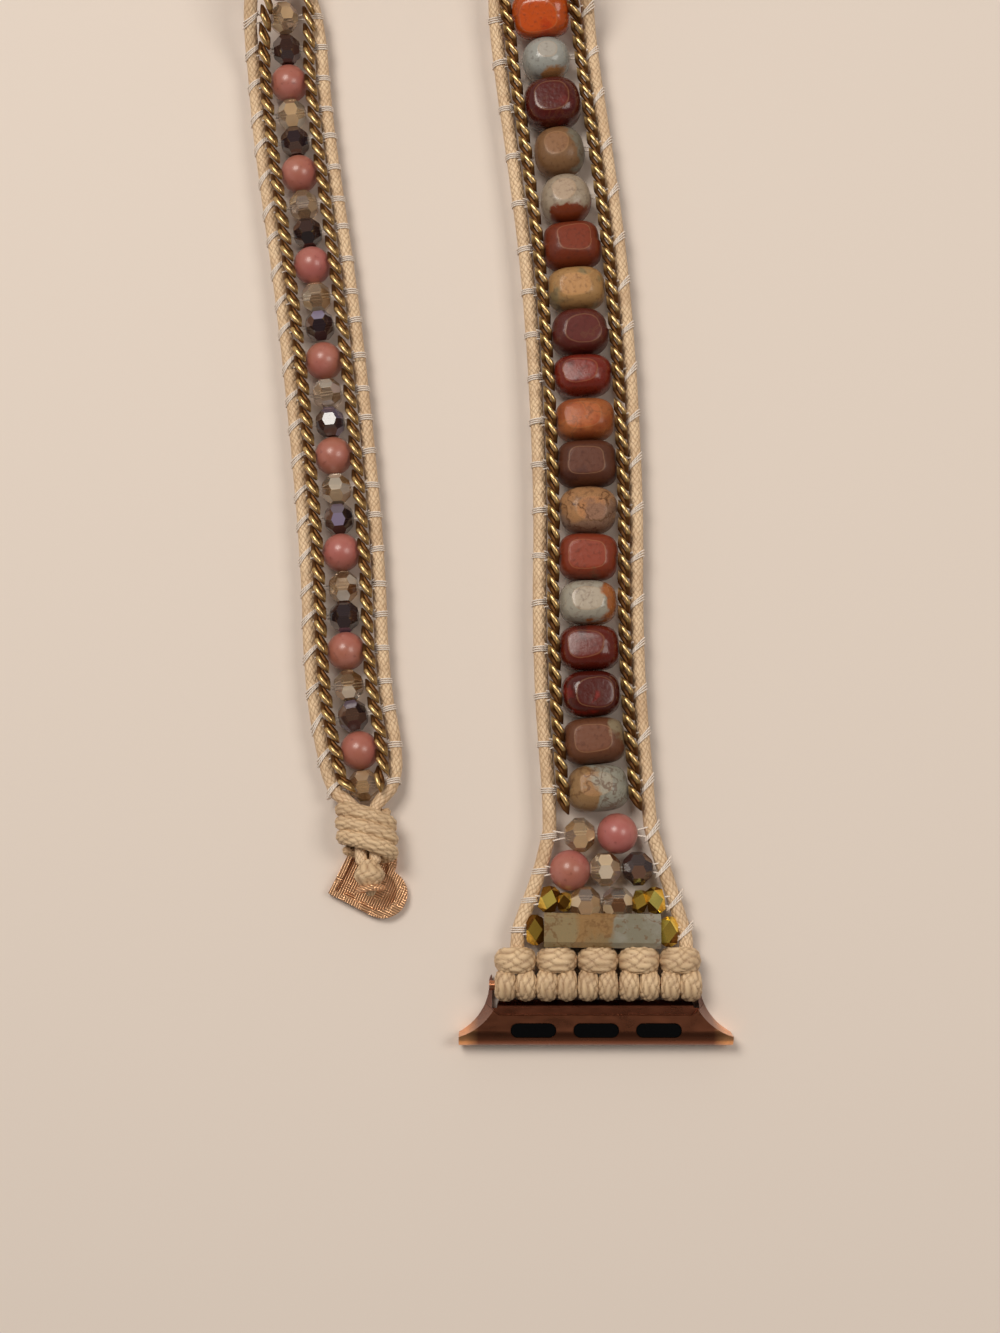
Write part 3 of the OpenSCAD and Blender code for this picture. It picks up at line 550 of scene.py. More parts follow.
def stoneMaterial():
    # each bead carries two tones, the place of the second one, a vein strength, a gloss and a seed of its own
    material, tree, shader = newMaterial("tumbledJasper", Roughness=0.3, Specular_IOR_Level=0.3, Coat_Roughness=0.12)
    mainTone, secondTone = [addNode(tree, "Attribute", attribute_name=name).outputs for name in ("tone", "second")]
    seed, veining, edge = axes(tree, attribute(tree, "facts", "Vector"))
    gloss = mainTone["Alpha"]
    ring = spread(tree, maths(tree, "ABSOLUTE",
                              plus(tree, edge, times(tree, minus(tree, noise(tree, objectCoordinates(tree), 900.0),
                                  0.5), 0.08))), 0.01, 0.045, 1.0, 0.0)
    stone = useGroup(tree, figure, {"Position": objectCoordinates(tree), "Scale": stoneLook["scale"],
                                    "Seed": times(tree, seed, 37.0)})
    share = plus(tree, secondTone["Alpha"], times(tree, minus(tree, stone["Patch"], 0.5), 5.0))
    colour = mixColour(tree, spread(tree, share, -0.18, 0.18), mainTone["Color"], secondTone["Color"])
    cracked = times(tree, stone["Crack"], spread(tree, veining, 0.3, 0.9))
    colour = mixColour(tree, times(tree, cracked, 0.9), colour, stoneLook["crack"])
    # the ground flat top is drawn lighter and rougher: the roughness and part of the lift are the matte grind, the rest
    # of the lift is painted light on the top face
    ground = spread(tree, edge, -0.02, 0.05)
    colour = mixColour(tree, times(tree, ground, 0.5), colour,
                       mixColour(tree, 1.0, colour, (1.5, 1.3, 1.2, 1.0), "MULTIPLY"))
    colour = mixColour(tree, times(tree, stone["Vein"], veining), colour, stoneLook["vein"])
    colour = mixColour(tree, spread(tree, stone["Speck"], 0.54, 0.68, 0.0, 0.6), colour,
                       mixColour(tree, 0.55, colour, stoneLook["speck"]))
    colour = mixColour(tree, times(tree, ring, 0.26), colour, mixColour(tree, 0.6, colour, stoneLook["rim"]))
    tree.links.new(mixColour(tree, 1.0, colour, stoneLook["wash"], "MULTIPLY"), shader["Base Color"])
    rough = minus(tree, plus(tree, spread(tree, stone["Speck"], 0.3, 0.7, 0.42, 0.54), times(tree, ground, 0.1)),
                  times(tree, gloss, 0.26))
    tree.links.new(rough, shader["Roughness"])
    tree.links.new(times(tree, gloss, 0.3), shader["Coat Weight"])
    bumpFrom(tree, shader, plus(tree, times(tree, stone["Speck"], 0.6), times(tree, cracked, -0.6)), stoneLook["depth"])
    return material


jasper = stoneMaterial()


pinkLook = {"scale": 210.0, "seed": 4.0, "broad": 95.0, "rose": tint(168, 95, 88), "brown": tint(160, 98, 78),
            "pale": tint(196, 134, 126),
            "speck": tint(112, 58, 52), "depth": 0.00002}


def pinkMaterial():
    material, tree, shader = newMaterial("pinkStone", Roughness=0.36, Coat_Weight=0.2, Coat_Roughness=0.14)
    stone = useGroup(tree, figure, {"Position": objectCoordinates(tree), "Scale": pinkLook["scale"],
                                    "Seed": pinkLook["seed"]})
    big = noise(tree, objectCoordinates(tree), pinkLook["broad"], 1.0)
    colour = mixColour(tree, spread(tree, big, 0.4, 0.62), pinkLook["rose"], pinkLook["brown"])
    colour = mixColour(tree, spread(tree, stone["Patch"], 0.5, 0.72, 0.0, 0.5), colour, pinkLook["pale"])
    colour = mixColour(tree, spread(tree, stone["Speck"], 0.6, 0.74, 0.0, 0.5), colour, pinkLook["speck"])
    tree.links.new(colour, shader["Base Color"])
    bumpFrom(tree, shader, stone["Speck"], pinkLook["depth"])
    return material


pinkStone = pinkMaterial()


def crystalMaterial(name, bodyAndGlintTones, edgeShade, clear):
    # cut glass: each facet gets its own tone at random, from the glass's own colour to painted reflections and sparkle,
    # and the edges seen at a slant are drawn in a darker colour as painted shade
    material, tree, shader = newMaterial(name, Roughness=0.05, IOR=1.55, Coat_Weight=0.5, Coat_Roughness=0.03)
    facet = attribute(tree, "facet")
    ramp = addNode(tree, "ValToRGB", {0: facet})
    for at, colour in bodyAndGlintTones[1:-1]:
        ramp.color_ramp.elements.new(at).color = colour
    for end in (0, -1):
        ramp.color_ramp.elements[end].color = bodyAndGlintTones[end][1]
    slantFacing = addNode(tree, "LayerWeight", {"Blend": 0.3}).outputs["Facing"]
    colour = mixColour(tree, times(tree, slantFacing, 0.45), ramp.outputs[0], edgeShade)
    tree.links.new(colour, shader["Base Color"])
    tree.links.new(spread(tree, maths(tree, "FRACT", times(tree, facet, 7.3)), 0.0, 1.0, *clear),
                   shader["Transmission Weight"])
    return material


# the facet colours are partly the glass's own colour and partly painted reflections and sparkle; the colour after them
# is the painted edge shade
smokyCrystal = crystalMaterial("smokyCrystal", [(0, tint(108, 70, 44)), (0.3, tint(236, 208, 168)),
                                                (0.55, tint(196, 150, 100)), (0.8, tint(255, 246, 228)),
                                                (1, tint(176, 150, 144))], tint(136, 96, 62), (0.35, 0.95))
# likewise for the dark glass, whose violet last facet colour is a painted glint
darkCrystal = crystalMaterial("darkCrystal", [(0, tint(34, 24, 24)), (0.35, tint(84, 56, 46)), (0.6, tint(46, 34, 38)),
                                              (0.85, tint(108, 78, 62)), (1, tint(138, 128, 156))], tint(60, 46, 48),
                                              (0.05, 0.5))


metalLook = {"rough": (0.2, 0.38), "scale": 900.0, "depth": 0.00001}


def metalMaterial(name, light, dark, stretch):
    material, tree, shader = newMaterial(name, Metallic=1.0, Roughness=0.3)
    marks = marksOn(tree, objectCoordinates(tree), metalLook["scale"], stretch)
    colour = mixColour(tree, spread(tree, marks["Dull"], 0.35, 0.7), light, dark)
    tree.links.new(colour, shader["Base Color"])
    tree.links.new(spread(tree, plus(tree, times(tree, marks["Stroke"], 0.6), times(tree, marks["Dull"], 0.4)), 0.3,
                          0.7, *metalLook["rough"]), shader["Roughness"])
    bumpFrom(tree, shader, marks["Stroke"], metalLook["depth"])
    return material


roseGold = metalMaterial("roseGold", tint(216, 152, 112), tint(186, 118, 84), (0.15, 3.0, 3.0))


# tip is the colour of the painted highlight at the tips, step that of the painted shade on the step behind the slots
adapterLook = {"tips": (0.0146, 0.0162), "stepY": (0.00128, 0.0014), "top": tint(138, 84, 60),
               "worn": tint(116, 70, 50),
               "tip": tint(236, 170, 116), "step": tint(112, 64, 46), "depth": 0.0003}


def adapterMaterial():
    # satin rose gold: brown on top, drawn brighter at the tips as a painted highlight, and darker on the step behind
    # the slots as painted shade
    material, tree, shader = newMaterial("adapterMetal", Metallic=1.0, Roughness=0.3)
    here = objectCoordinates(tree)
    spot = axes(tree, here)
    marks = marksOn(tree, here, 900.0, (0.5, 1.0, 1.0))
    # the tips are drawn brighter: painted highlight
    tipHighlight = spread(tree, maths(tree, "ABSOLUTE", spot[0]), *adapterLook["tips"])
    colour = mixColour(tree, tipHighlight, mixColour(tree, marks["Dull"], adapterLook["top"], adapterLook["worn"]),
                       adapterLook["tip"])
    # the step behind the slots is drawn darker: painted shade in the recess
    reach = minus(tree, maths(tree, "ABSOLUTE", spot[0]), times(tree, minus(tree, spot[1], 0.0014), 1.2))
    step = times(tree, spread(tree, spot[1], *adapterLook["stepY"]), spread(tree, reach, 0.0122, 0.0121))
    colour = mixColour(tree, times(tree, step, 0.75), colour, adapterLook["step"])
    tree.links.new(colour, shader["Base Color"])
    tree.links.new(spread(tree, marks["Stroke"], 0.3, 0.7, 0.26, 0.32), shader["Roughness"])
    bumpFrom(tree, shader, times(tree, step, -1.0), adapterLook["depth"])
    return material


adapterMetal = adapterMaterial()


# the hatch colour is painted shade in the ruled grooves; bright is the metal's own colour
heartLook = {"turn": 24, "lines": 10000.0, "scale": 420.0, "patch": (0.46, 0.54), "bright": tint(244, 192, 146),
             "hatch": tint(136, 80, 50),
             "depth": 0.00011}


def heartMaterial():
    # cast metal with a hatched ground: two sets of fine ruled lines, each showing in its own patches, drawn darker in
    # their grooves as painted shade
    material, tree, shader = newMaterial("heartMetal", Metallic=0.7, Roughness=0.28)
    here = objectCoordinates(tree)
    turned = addNode(tree, "VectorRotate", {"Vector": here, "Angle": math.radians(heartLook["turn"])},
                     rotation_type="Z_AXIS").outputs[0]
    spot = axes(tree, turned)
    marks = marksOn(tree, here, heartLook["scale"])
    ruled = [maths(tree, "ABSOLUTE",
                   maths(tree, "SINE", plus(tree, times(tree, s, heartLook["lines"]),
                                            times(tree, marks["Dull"], 2.0)))) for s in spot[:2]]
    patch = spread(tree, marks["Stroke"], *heartLook["patch"])
    lines = addNode(tree, "Mix", {0: patch, 2: ruled[0], 3: ruled[1]}, data_type="FLOAT").outputs[0]
    # the ruled grooves are drawn darker: painted shade
    colour = mixColour(tree, times(tree, minus(tree, 1.0, lines), 0.7), heartLook["bright"], heartLook["hatch"])
    tree.links.new(colour, shader["Base Color"])
    bumpFrom(tree, shader, lines, heartLook["depth"])
    return material


heartMetal = heartMaterial()


brassLook = {"scale": 700.0, "bright": tint(232, 200, 140), "worn": tint(196, 156, 98), "low": tint(112, 76, 44),
             "rough": (0.32, 0.55),
             "depth": 0.00001}


def brassMaterial():
    # worn brass: bright where the links rub, dark brown where they lie low
    material, tree, shader = newMaterial("agedBrass", Metallic=1.0)
    marks = marksOn(tree, objectCoordinates(tree), brassLook["scale"])
    low = attribute(tree, "recess")
    low = spread(tree, plus(tree, low, times(tree, minus(tree, marks["Stroke"], 0.5), 0.25)), 0.14, 0.55)
    colour = mixColour(tree, low, mixColour(tree, marks["Dull"], brassLook["bright"], brassLook["worn"]),
                       brassLook["low"])
    tree.links.new(colour, shader["Base Color"])
    tree.links.new(spread(tree, low, 0.0, 1.0, *brassLook["rough"]), shader["Roughness"])
    bumpFrom(tree, shader, marks["Stroke"], brassLook["depth"])
    return material


agedBrass = brassMaterial()


goldLook = {"shadow": tint(120, 80, 24), "body": tint(240, 196, 84), "flash": tint(255, 236, 124),
            "rough": (0.12, 0.26)}


def goldMaterial():
    # plated facets, each catching the light in its own measure
    material, tree, shader = newMaterial("goldBead", Metallic=0.85, Roughness=0.2)
    facet = attribute(tree, "facet")
    marks = marksOn(tree, objectCoordinates(tree), 900.0)
    colour = mixColour(tree, spread(tree, facet, 0.25, 0.55), goldLook["shadow"], goldLook["body"])
    colour = mixColour(tree, spread(tree, facet, 0.6, 0.95), colour, goldLook["flash"])
    tree.links.new(colour, shader["Base Color"])
    tree.links.new(spread(tree, marks["Dull"], 0.3, 0.7, *goldLook["rough"]), shader["Roughness"])
    return material


goldBead = goldMaterial()
springSteel = metalMaterial("springSteel", tint(190, 190, 192), tint(150, 150, 154), (3.0, 0.2, 3.0))


rubberLook = {"grain": 2600.0, "dark": tint(2, 2, 2), "light": tint(6, 6, 7), "depth": 0.00001}


def rubberMaterial(name, rough, coat):
    material, tree, shader = newMaterial(name, Roughness=rough, Specular_IOR_Level=0.4, Coat_Weight=coat,
                                         Coat_Roughness=0.04)
    grain = noise(tree, objectCoordinates(tree), rubberLook["grain"])
    tree.links.new(mixColour(tree, grain, rubberLook["dark"], rubberLook["light"]), shader["Base Color"])
    bumpFrom(tree, shader, grain, rubberLook["depth"])
    return material


padRubber = rubberMaterial("padRubber", 0.14, 0.0)
buttonBlack = rubberMaterial("buttonBlack", 0.08, 0.3)


bandLook = {"scale": 230.0, "seed": 9.0, "left": tint(134, 118, 86), "middle": tint(140, 106, 66),
            "right": tint(140, 134, 120),
            "patch": tint(112, 104, 78), "outline": tint(166, 130, 84), "vein": tint(110, 78, 46),
            "speck": tint(110, 74, 44), "depth": 0.00002}


def bandedMaterial():
    # cut bar: three zones along its length, with outlined patches and spots
    material, tree, shader = newMaterial("bandedStone", Roughness=0.25, Coat_Weight=0.5, Coat_Roughness=0.08)
    here = objectCoordinates(tree)
    across = axes(tree, here)[0]
    stone = useGroup(tree, figure, {"Position": here, "Scale": bandLook["scale"], "Seed": bandLook["seed"]})
    wobble = plus(tree, across, times(tree, minus(tree, stone["Patch"], 0.5), 0.006))
    colour = mixColour(tree, spread(tree, wobble, -0.0030, -0.0022), bandLook["left"], bandLook["middle"])
    colour = mixColour(tree, spread(tree, wobble, 0.0022, 0.0028), colour, bandLook["right"])
    colour = mixColour(tree, spread(tree, stone["Patch"], 0.52, 0.6, 0.0, 0.5), colour, bandLook["patch"])
    outlined = times(tree, stone["Crack"], spread(tree, wobble, 0.0016, 0.0026, 0.85, 0.0))
    colour = mixColour(tree, outlined, colour, bandLook["outline"])
    colour = mixColour(tree, times(tree, stone["Vein"], spread(tree, wobble, -0.003, -0.002, 0.8, 0.5)), colour,
                       bandLook["vein"])
    colour = mixColour(tree, spread(tree, stone["Speck"], 0.6, 0.68, 0.0, 0.6), colour, bandLook["speck"])
    tree.links.new(colour, shader["Base Color"])
    bumpFrom(tree, shader, stone["Speck"], bandLook["depth"])
    return material


bandedStone = bandedMaterial()
print("materials made")

# edge cords: one round tube each side, rigid along each stretch, with a short separate piece across four of the joints
cordSize = {
    "radius": 0.88, "sides": 14, "step": 0.9, "start": 4.0, "bendHalf": 3.6, "blendHalf": 2.2, "knotShare": 0.86,
    "domeFrom": 15, "domeTo": 85, "domeRings": 6, "uvShift": 0.4,
    # on view the cords close in a little before the last bead: [station, half-width]
    "closeIn": [[lastS - 6, strap["narrowX"]], [lastS - 2, 4.35], [lastS + 0.6, 3.55], [jointG - 0.6, 2.35],
                [jointG + 0.6, 1.5],
                [jointG + 1.8, 0.89]],
}


def offSide(s, e, inward=0.0, z=0.0):
    return place(s, e * (shownEdge(s) - inward), np.full(np.shape(s), z))


def shownEdge(s):
    # the table starts to count where its first station does: the 6 mm added before it leave the strap's own edge
    start = cordSize["closeIn"][0][0]
    return np.minimum(edgeX(s), lookUp(s, cordSize["closeIn"]) + 6 * (s < start))


def cordPiece(name, low, high, body=None, stands=()):
    s = np.linspace(low, high, max(8, int((high - low) / cordSize["step"])))
    radii = np.full(len(s), cordSize["radius"])
    if body:
        # a domed end: r sin a past the end, where the radius is r cos a
        turn = np.radians(np.linspace(cordSize["domeFrom"], cordSize["domeTo"], cordSize["domeRings"]))
        over, left = cordSize["radius"] * np.sin(turn), cordSize["radius"] * np.cos(turn)
        s = np.concatenate([low - over[::-1], s, high + over])
        radii = np.concatenate([left[::-1], radii, left])
    paths = np.stack([offSide(s, e) for e in (-1, 1)])
    out = np.stack([frameAt(s)[2]] * 2)
    slim = np.where(s > jointG + 0.5, cordSize["knotShare"], 1.0)
    piece = gridMesh(name, tubes(paths, out, (radii * slim)[None], cordSize["sides"]),
                     uv=np.stack([s, s + cordSize["uvShift"]]))
    return finishPiece(piece, waxedCord, body, stands)


# at the three joints of the unseen bend nothing is blended, because rounding threw a blend there far off at one pose:
# the domed ends of the two cords meet on the joint's axis instead
unblended = ("strap3", "strap4", "strap5")
cordHalf = [0 if body in unblended else cordSize["bendHalf"] for body in bodyNames[:7]]
cordEnds = [j + e * half for j, half in zip(joints, cordHalf) for e in (-1, 1)]
cordEnds = [cordSize["start"]] + cordEnds + [jointG + knotL + 0.4]
for i, body in enumerate(bodyNames):
    cordPiece("edgeCords%d" % (i + 1), cordEnds[2 * i], cordEnds[2 * i + 1], body, ["strap%d_cords" % (i + 1)] if i < 7
              else [])
for i, joint in enumerate(joints):
    if not cordHalf[i]:
        continue
    piece = cordPiece("cordBend%d" % (i + 1), cordEnds[2 * i + 1], cordEnds[2 * i + 2])
    a, b = middle(joint - cordSize["blendHalf"]), middle(joint + cordSize["blendHalf"])
    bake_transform(piece)
print("edge cords made")

# how far the fan rows 1, 2 and 3 stand from their stations, as the photo shows them
fanShift = [-0.55, -0.5, -0.4]

# stitching thread: three turns round each cord at each row, and two strands through the beads
threadSize = {"radius": 0.1, "turns": 3, "spacing": 0.27, "around": 24, "sides": 6, "slant": 1.1, "strand": 0.11,
              "strandOff": 0.2,
              "inset": 0.5, "lift": 0.15, "rise": 0.55}


def threadPiece(name, rows, body, stands):
    rng = np.random.default_rng(len(rows) * 7 + int(rows[0]))
    k = len(rows) * 2 * threadSize["turns"]
    s0 = np.repeat(rows, 2 * threadSize["turns"])
    e = np.tile(np.repeat([-1, 1], threadSize["turns"]), len(rows))
    turn = np.tile(np.arange(threadSize["turns"]) - 1, len(rows) * 2)
    lean = np.repeat(np.where(np.tile([-1, 1], len(rows)) > 0, rng.uniform(0.7, 1.15, len(rows) * 2),
                              rng.uniform(-0.08, 0.12, len(rows) * 2)), threadSize["turns"])
    a = turns(threadSize["around"])
    r = cordSize["radius"] + threadSize["radius"] * 0.8 + rng.uniform(0, 0.05, k)[:, None]
    shift = (turn[:, None] * threadSize["spacing"] * (1 + 0.5 * lean[:, None] * np.cos(a)) + threadSize["slant"]
             * lean[:, None] * e[:, None] * np.cos(a) * 0.9)
    s = s0[:, None] + shift
    side, _, n = frameAt(s)
    centre = place(s, e[:, None] * shownEdge(s0)[:, None], np.zeros(s.shape))
    path = centre + r[..., None] * (np.cos(a)[:, None] * e[:, None, None] * side + np.sin(a)[:, None] * n)
    grid = closedTubes(path, centre, threadSize["radius"], threadSize["sides"])
    wraps = gridMesh(name, grid, uv=a[None], loopAlong=True)
    # strands between the two cords, each bowed a little off the row
    q = np.linspace(-1, 1, 24)
    off = np.array([-1, 1]) * threadSize["strandOff"]
    rows2 = np.repeat(rows, 2)
    sx = rows2[:, None] + np.tile(off, len(rows))[:, None] * (1 + 2.2 * q[None] ** 4)
    across = place(sx, q[None] * (shownEdge(rows2)[:, None] - threadSize["inset"]),
                   threadSize["lift"] + threadSize["rise"] * np.broadcast_to(q, sx.shape) ** 6)
    strands = gridMesh(name + "Across", tubes(across, np.array([0.0, 0.0, 1.0]), threadSize["strand"],
                                              threadSize["sides"]), uv=lengths(across))
    finishPiece(wraps, whiteThread, body, stands)
    finishPiece(strands, whiteThread, body)


rowSets = np.split(nuggetS, strap["wideCuts"]) + np.split(smallS, strap["smallCuts"])
threadPiece("fanThread", np.array([barBead, row3 + fanShift[2], row2 + fanShift[1], row1 + fanShift[0]]), "strap1",
            ["fan_threads"])
for i, rows in enumerate(rowSets):
    threadPiece("rowThread%d" % (i + 1), rows, bodyNames[i], ["strap%d_threads" % (i + 1)])
print("threads made")

# curb chains: flat twisted links, each hooked into the next
chainSize = {"room": 0.25, "pitch": 2.3, "width": 1.68, "wire": 0.66, "bar": 0.9, "rise": 0.32, "height": 1.8,
             "inWide": 1.72, "inNarrow": 1.62, "first": nuggetS[0] - 2.75, "past": 0.9, "fade": 3.0, "wireSides": 6}


def chainLine(s, e):
    inward = lookUp(s, [[jointC - 1, chainSize["inWide"]], [jointC + 5, chainSize["inNarrow"]]])
    return offSide(s, e, inward, chainSize["height"])


def chainStations():
    # stations spread evenly along each chain's own length
    dense = np.linspace(chainSize["first"], lastS + chainSize["past"], 3000)
    for e in (-1, 1):
        path = chainLine(dense, e)
        length = np.concatenate([[0], np.cumsum(np.linalg.norm(np.diff(path, axis=0), axis=1))])
        count = int(round(length[-1] / chainSize["pitch"]))
        even = np.interp((np.arange(count) + 0.5) * length[-1] / count, length, dense)
        # room at each joint: the links stand off it by room * exp(-distance / fade)
        off = even[:, None] - np.array(joints)
        yield e, even + (chainSize["room"] * np.sign(off) * np.exp(-np.abs(off) / chainSize["fade"])).sum(1)


def chainPieces():
    # one link: an upper bar and a lower bar, both slanted the same way and half a pitch apart, joined at their ends
    r = (chainSize["width"] - chainSize["wire"]) / 2
    rise, bar, half = chainSize["rise"], chainSize["bar"], chainSize["pitch"] / 2
    upper = np.array([(r, -bar, 0.75 * rise), (r / 3, -bar / 3, rise), (-r / 3, bar / 3, rise), (-r, bar, 0.75 * rise),
                      (-1.02 * r, bar * 0.75, 0)])
    link = np.vstack([upper, upper * -1]) + np.repeat([[0, half / 2, 0], [0, -half / 2, 0]], 5, 0)
    link[4], link[9] = (-1.02 * r, bar - half * 0.35, 0), (1.02 * r, half * 0.35 - bar, 0)
    parts = {}
    for e, stations in chainStations():
        for body in bodyNames[:7]:
            picked = np.array([q for q in stations if bodyOf(q) == body])
            if len(picked):
                parts.setdefault(body, []).append((e, picked))
    for body, found in parts.items():
        grids = []
        for e, s in found:
            side, _, n = frameAt(s)
            t = unit(chainLine(s + 0.4, e) - chainLine(s - 0.4, e))
            n = squareTo(n, t)
            b = np.cross(t, n)
            c = chainLine(s, e)
            path = (c[:, None] + link[None, :, :1] * b[:, None] + link[None, :, 1:2] * t[:, None] + link[None, :, 2:]
                    * n[:, None])
            grids.append(closedTubes(path, c[:, None], chainSize["wire"] / 2, chainSize["wireSides"]))
        grid = np.concatenate(grids)
        recess = np.broadcast_to(np.clip(0.5 - link[:, 2] / (2 * rise), 0, 1)[None, :, None], grid.shape[:3])
        piece = gridMesh("curbChain" + body[-1], grid, loopAlong=True, attributes={"recess": recess})
        finishPiece(piece, agedBrass, body, [body + "_chains"])


chainPieces()
print("chains made")

# tumbled stones: rounded blocks, each ground flat on top in an oval
# from the adapter up: main tone, second tone, veins, where the second tone lies (across, along, share), gloss, width,
# plan roundness
tones = {
    0: (tint(174, 148, 118), tint(176, 190, 202), 0.7, (1.7, -0.2, 0.35), 0.5, 1.0, 2.9),
    1: (tint(106, 71, 56), tint(140, 136, 126), 0.1, (2.4, 0, -1.9), 0.15, 1.02, 3.3),
    2: (tint(74, 24, 20), tint(124, 34, 28), 0.15, (0, 0, -0.3), 1.0, 0.97, 2.8),
    3: (tint(96, 32, 24), tint(72, 22, 18), 0.1, (0, 0, -0.5), 0.8, 1.0, 3.2),
    4: (tint(166, 174, 184), tint(166, 110, 72), 0.25, (1.7, -0.5, -0.5), 0.8, 0.96, 2.7),
    5: (tint(132, 60, 42), tint(114, 74, 60), 0.1, (0, -0.6, -1.0), 0.3, 0.98, 3.4),
    6: (tint(206, 166, 132), tint(168, 142, 134), 0.95, (0.3, -1.0, -0.2), 0.4, 0.96, 2.6),
    7: (tint(90, 55, 44), tint(74, 42, 36), 0.05, (0, 0, -0.3), 0.1, 1.01, 3.6),
    8: (tint(178, 110, 68), tint(160, 88, 50), 0.5, (0, 0, -0.4), 0.5, 0.99, 3.0),
    9: (tint(118, 42, 34), tint(92, 30, 28), 0.1, (0, 0, -0.3), 0.7, 1.0, 2.9),
    10: (tint(90, 34, 32), tint(116, 62, 56), 0.4, (0, 0, -0.6), 0.5, 0.97, 2.5),
    11: (tint(174, 146, 110), tint(138, 130, 108), 0.2, (0, -0.3, -0.3), 0.3, 0.98, 2.9),
    12: (tint(116, 52, 32), tint(104, 46, 30), 0.05, (0, 0, -0.4), 0.15, 0.98, 3.6),
    13: (tint(166, 164, 166), tint(120, 58, 34), 0.15, (0.5, -2.2, -1.3), 0.5, 0.86, 2.2),
    14: (tint(130, 104, 82), tint(120, 124, 126), 0.3, (1.7, 0, -0.9), 0.2, 0.86, 2.4),
    15: (tint(78, 24, 24), tint(98, 34, 34), 0.3, (0, 0, -0.4), 0.9, 0.99, 2.5),
    16: (tint(162, 178, 200), tint(164, 128, 96), 0.05, (0.3, -2.0, -1.7), 0.8, 0.82, 2.2),
    17: (tint(184, 86, 34), tint(170, 66, 24), 0.1, (0, 0, -0.3), 0.9, 1.0, 3.2),
    18: (tint(136, 62, 44), tint(112, 44, 36), 0.2, (0, 0, -0.4), 0.4, 1.0, 3.0),
    19: (tint(176, 174, 160), tint(150, 106, 74), 0.4, (1.5, 0.4, -0.5), 0.5, 0.92, 2.6),
    20: (tint(104, 38, 32), tint(84, 28, 26), 0.2, (0, 0, -0.3), 0.7, 1.0, 2.9),
}
nuggetSize = {"width": 7.95, "upright": 2.6, "rings": 44, "around": 64, "flat": 1.035, "swell": 0.16, "sunk": 0.12,
              "skew": 0.03}


def nuggetPiece(name, first, last, body, stands):
    # a superellipse swept round the bore, its top and bottom cut flat; the cut's rim is marked for a paler line
    k = last - first
    rng = np.random.default_rng(first + 3)
    direction = ballGrid(nuggetSize["rings"], nuggetSize["around"], 0.012)
    half = np.stack([np.full(k, nuggetSize["width"] / 2), nuggetL[first:last] / 2 + nuggetSize["swell"],
                     np.full(k, strap["nuggetH"] / 2)], -1)
    picked = [tones[i] for i in range(first, last)]
    half[:, 0] *= np.array([q[5] for q in picked]) - 0.015
    plan = np.array([q[6] for q in picked])[:, None, None]
    upright = nuggetSize["upright"] + rng.uniform(-0.3, 0.3, k)[:, None, None]
    scaled = np.abs(direction[None] / half[:, None, None])
    plain = scaled[..., 0] ** plan + scaled[..., 1] ** plan
    r = (plain ** (upright / plan) + scaled[..., 2] ** upright) ** (-1 / upright)
    local = direction[None] * r[..., None]
    local[..., 0] *= 1 + nuggetSize["skew"] * rng.uniform(-1, 1, k)[:, None, None] * np.sign(local[..., 1])
    limit = half[:, 2] * (nuggetSize["flat"] - 0.045 * plan[:, 0, 0]) * rng.uniform(0.98, 1.02, k)
    tip = rng.uniform(-0.1, 0.1, (k, 2))
    plane = limit[:, None, None] + tip[:, :1, None] * local[..., 0] + tip[:, 1:, None] * local[..., 1]
    over = local[..., 2] - plane
    edge = over.copy()
    local[..., 2] = np.where(over > 0, plane + over * nuggetSize["sunk"], local[..., 2])
    # the ground top is stretched back to the stone's full height, and the lower half keeps its own
    stretch = half[:, 2, None, None] / local[..., 2].max((1, 2))[:, None, None]
    local[..., 2] *= np.where(local[..., 2] > 0, stretch, 1)
    side, t, n = frameAt(nuggetS[first:last])
    c = middle(nuggetS[first:last])
    grid = (c[:, None, None] + local[..., :1] * side[:, None, None] + local[..., 1:2] * t[:, None, None]
            + local[..., 2:] * n[:, None, None])
    shape = grid.shape[:3]
    ones = np.ones(shape + (1,))
    tone = np.array([q[0][:3] + (q[4],) for q in picked])[:, None, None] * ones
    # the second tone's share at each point: a slope across the stone and one along it, added to a level of its own
    slope = np.array([q[3] for q in picked])[:, :, None, None]
    share = (slope[:, 0] * local[..., 0] / half[:, 0, None, None] + slope[:, 1] * local[..., 1]
             / half[:, 1, None, None] + slope[:, 2])
    second = np.array([q[1] for q in picked])[:, None, None] * ones
    second[..., 3] = share
    facts = np.stack([np.broadcast_to(np.linspace(0.1, 0.9, k)[:, None, None], shape),
                      np.broadcast_to(np.array([q[2] for q in picked])[:, None, None], shape), edge, np.ones(shape)],
                      -1)
    piece = gridMesh(name, grid, attributes={"tone": tone, "second": second, "facts": facts})
    finishPiece(piece, jasper, body, stands)


for i, (first, last) in enumerate([(0, cutA), (cutA, cutB), (cutB, len(nuggetL))]):
    nuggetPiece("jasperBeads%d" % (i + 1), first, last, bodyNames[i], [bodyNames[i] + "_nuggets"])
print("stones made")

# cut crystals: a ball ground with three belts of flat facets about its bore
# belts: (slant in degrees, facets, turn in facets)
cutSize = {"belts": [(0, 8, 0.5), (42, 8, 0.0), (-42, 8, 0.0), (74, 4, 0.5), (-74, 4, 0.5)], "reach": 0.925,
           "endReach": 0.9,
           "across": 4.2, "fanClear": 4.35, "fanDark": 4.3, "fanLow": 0.35}


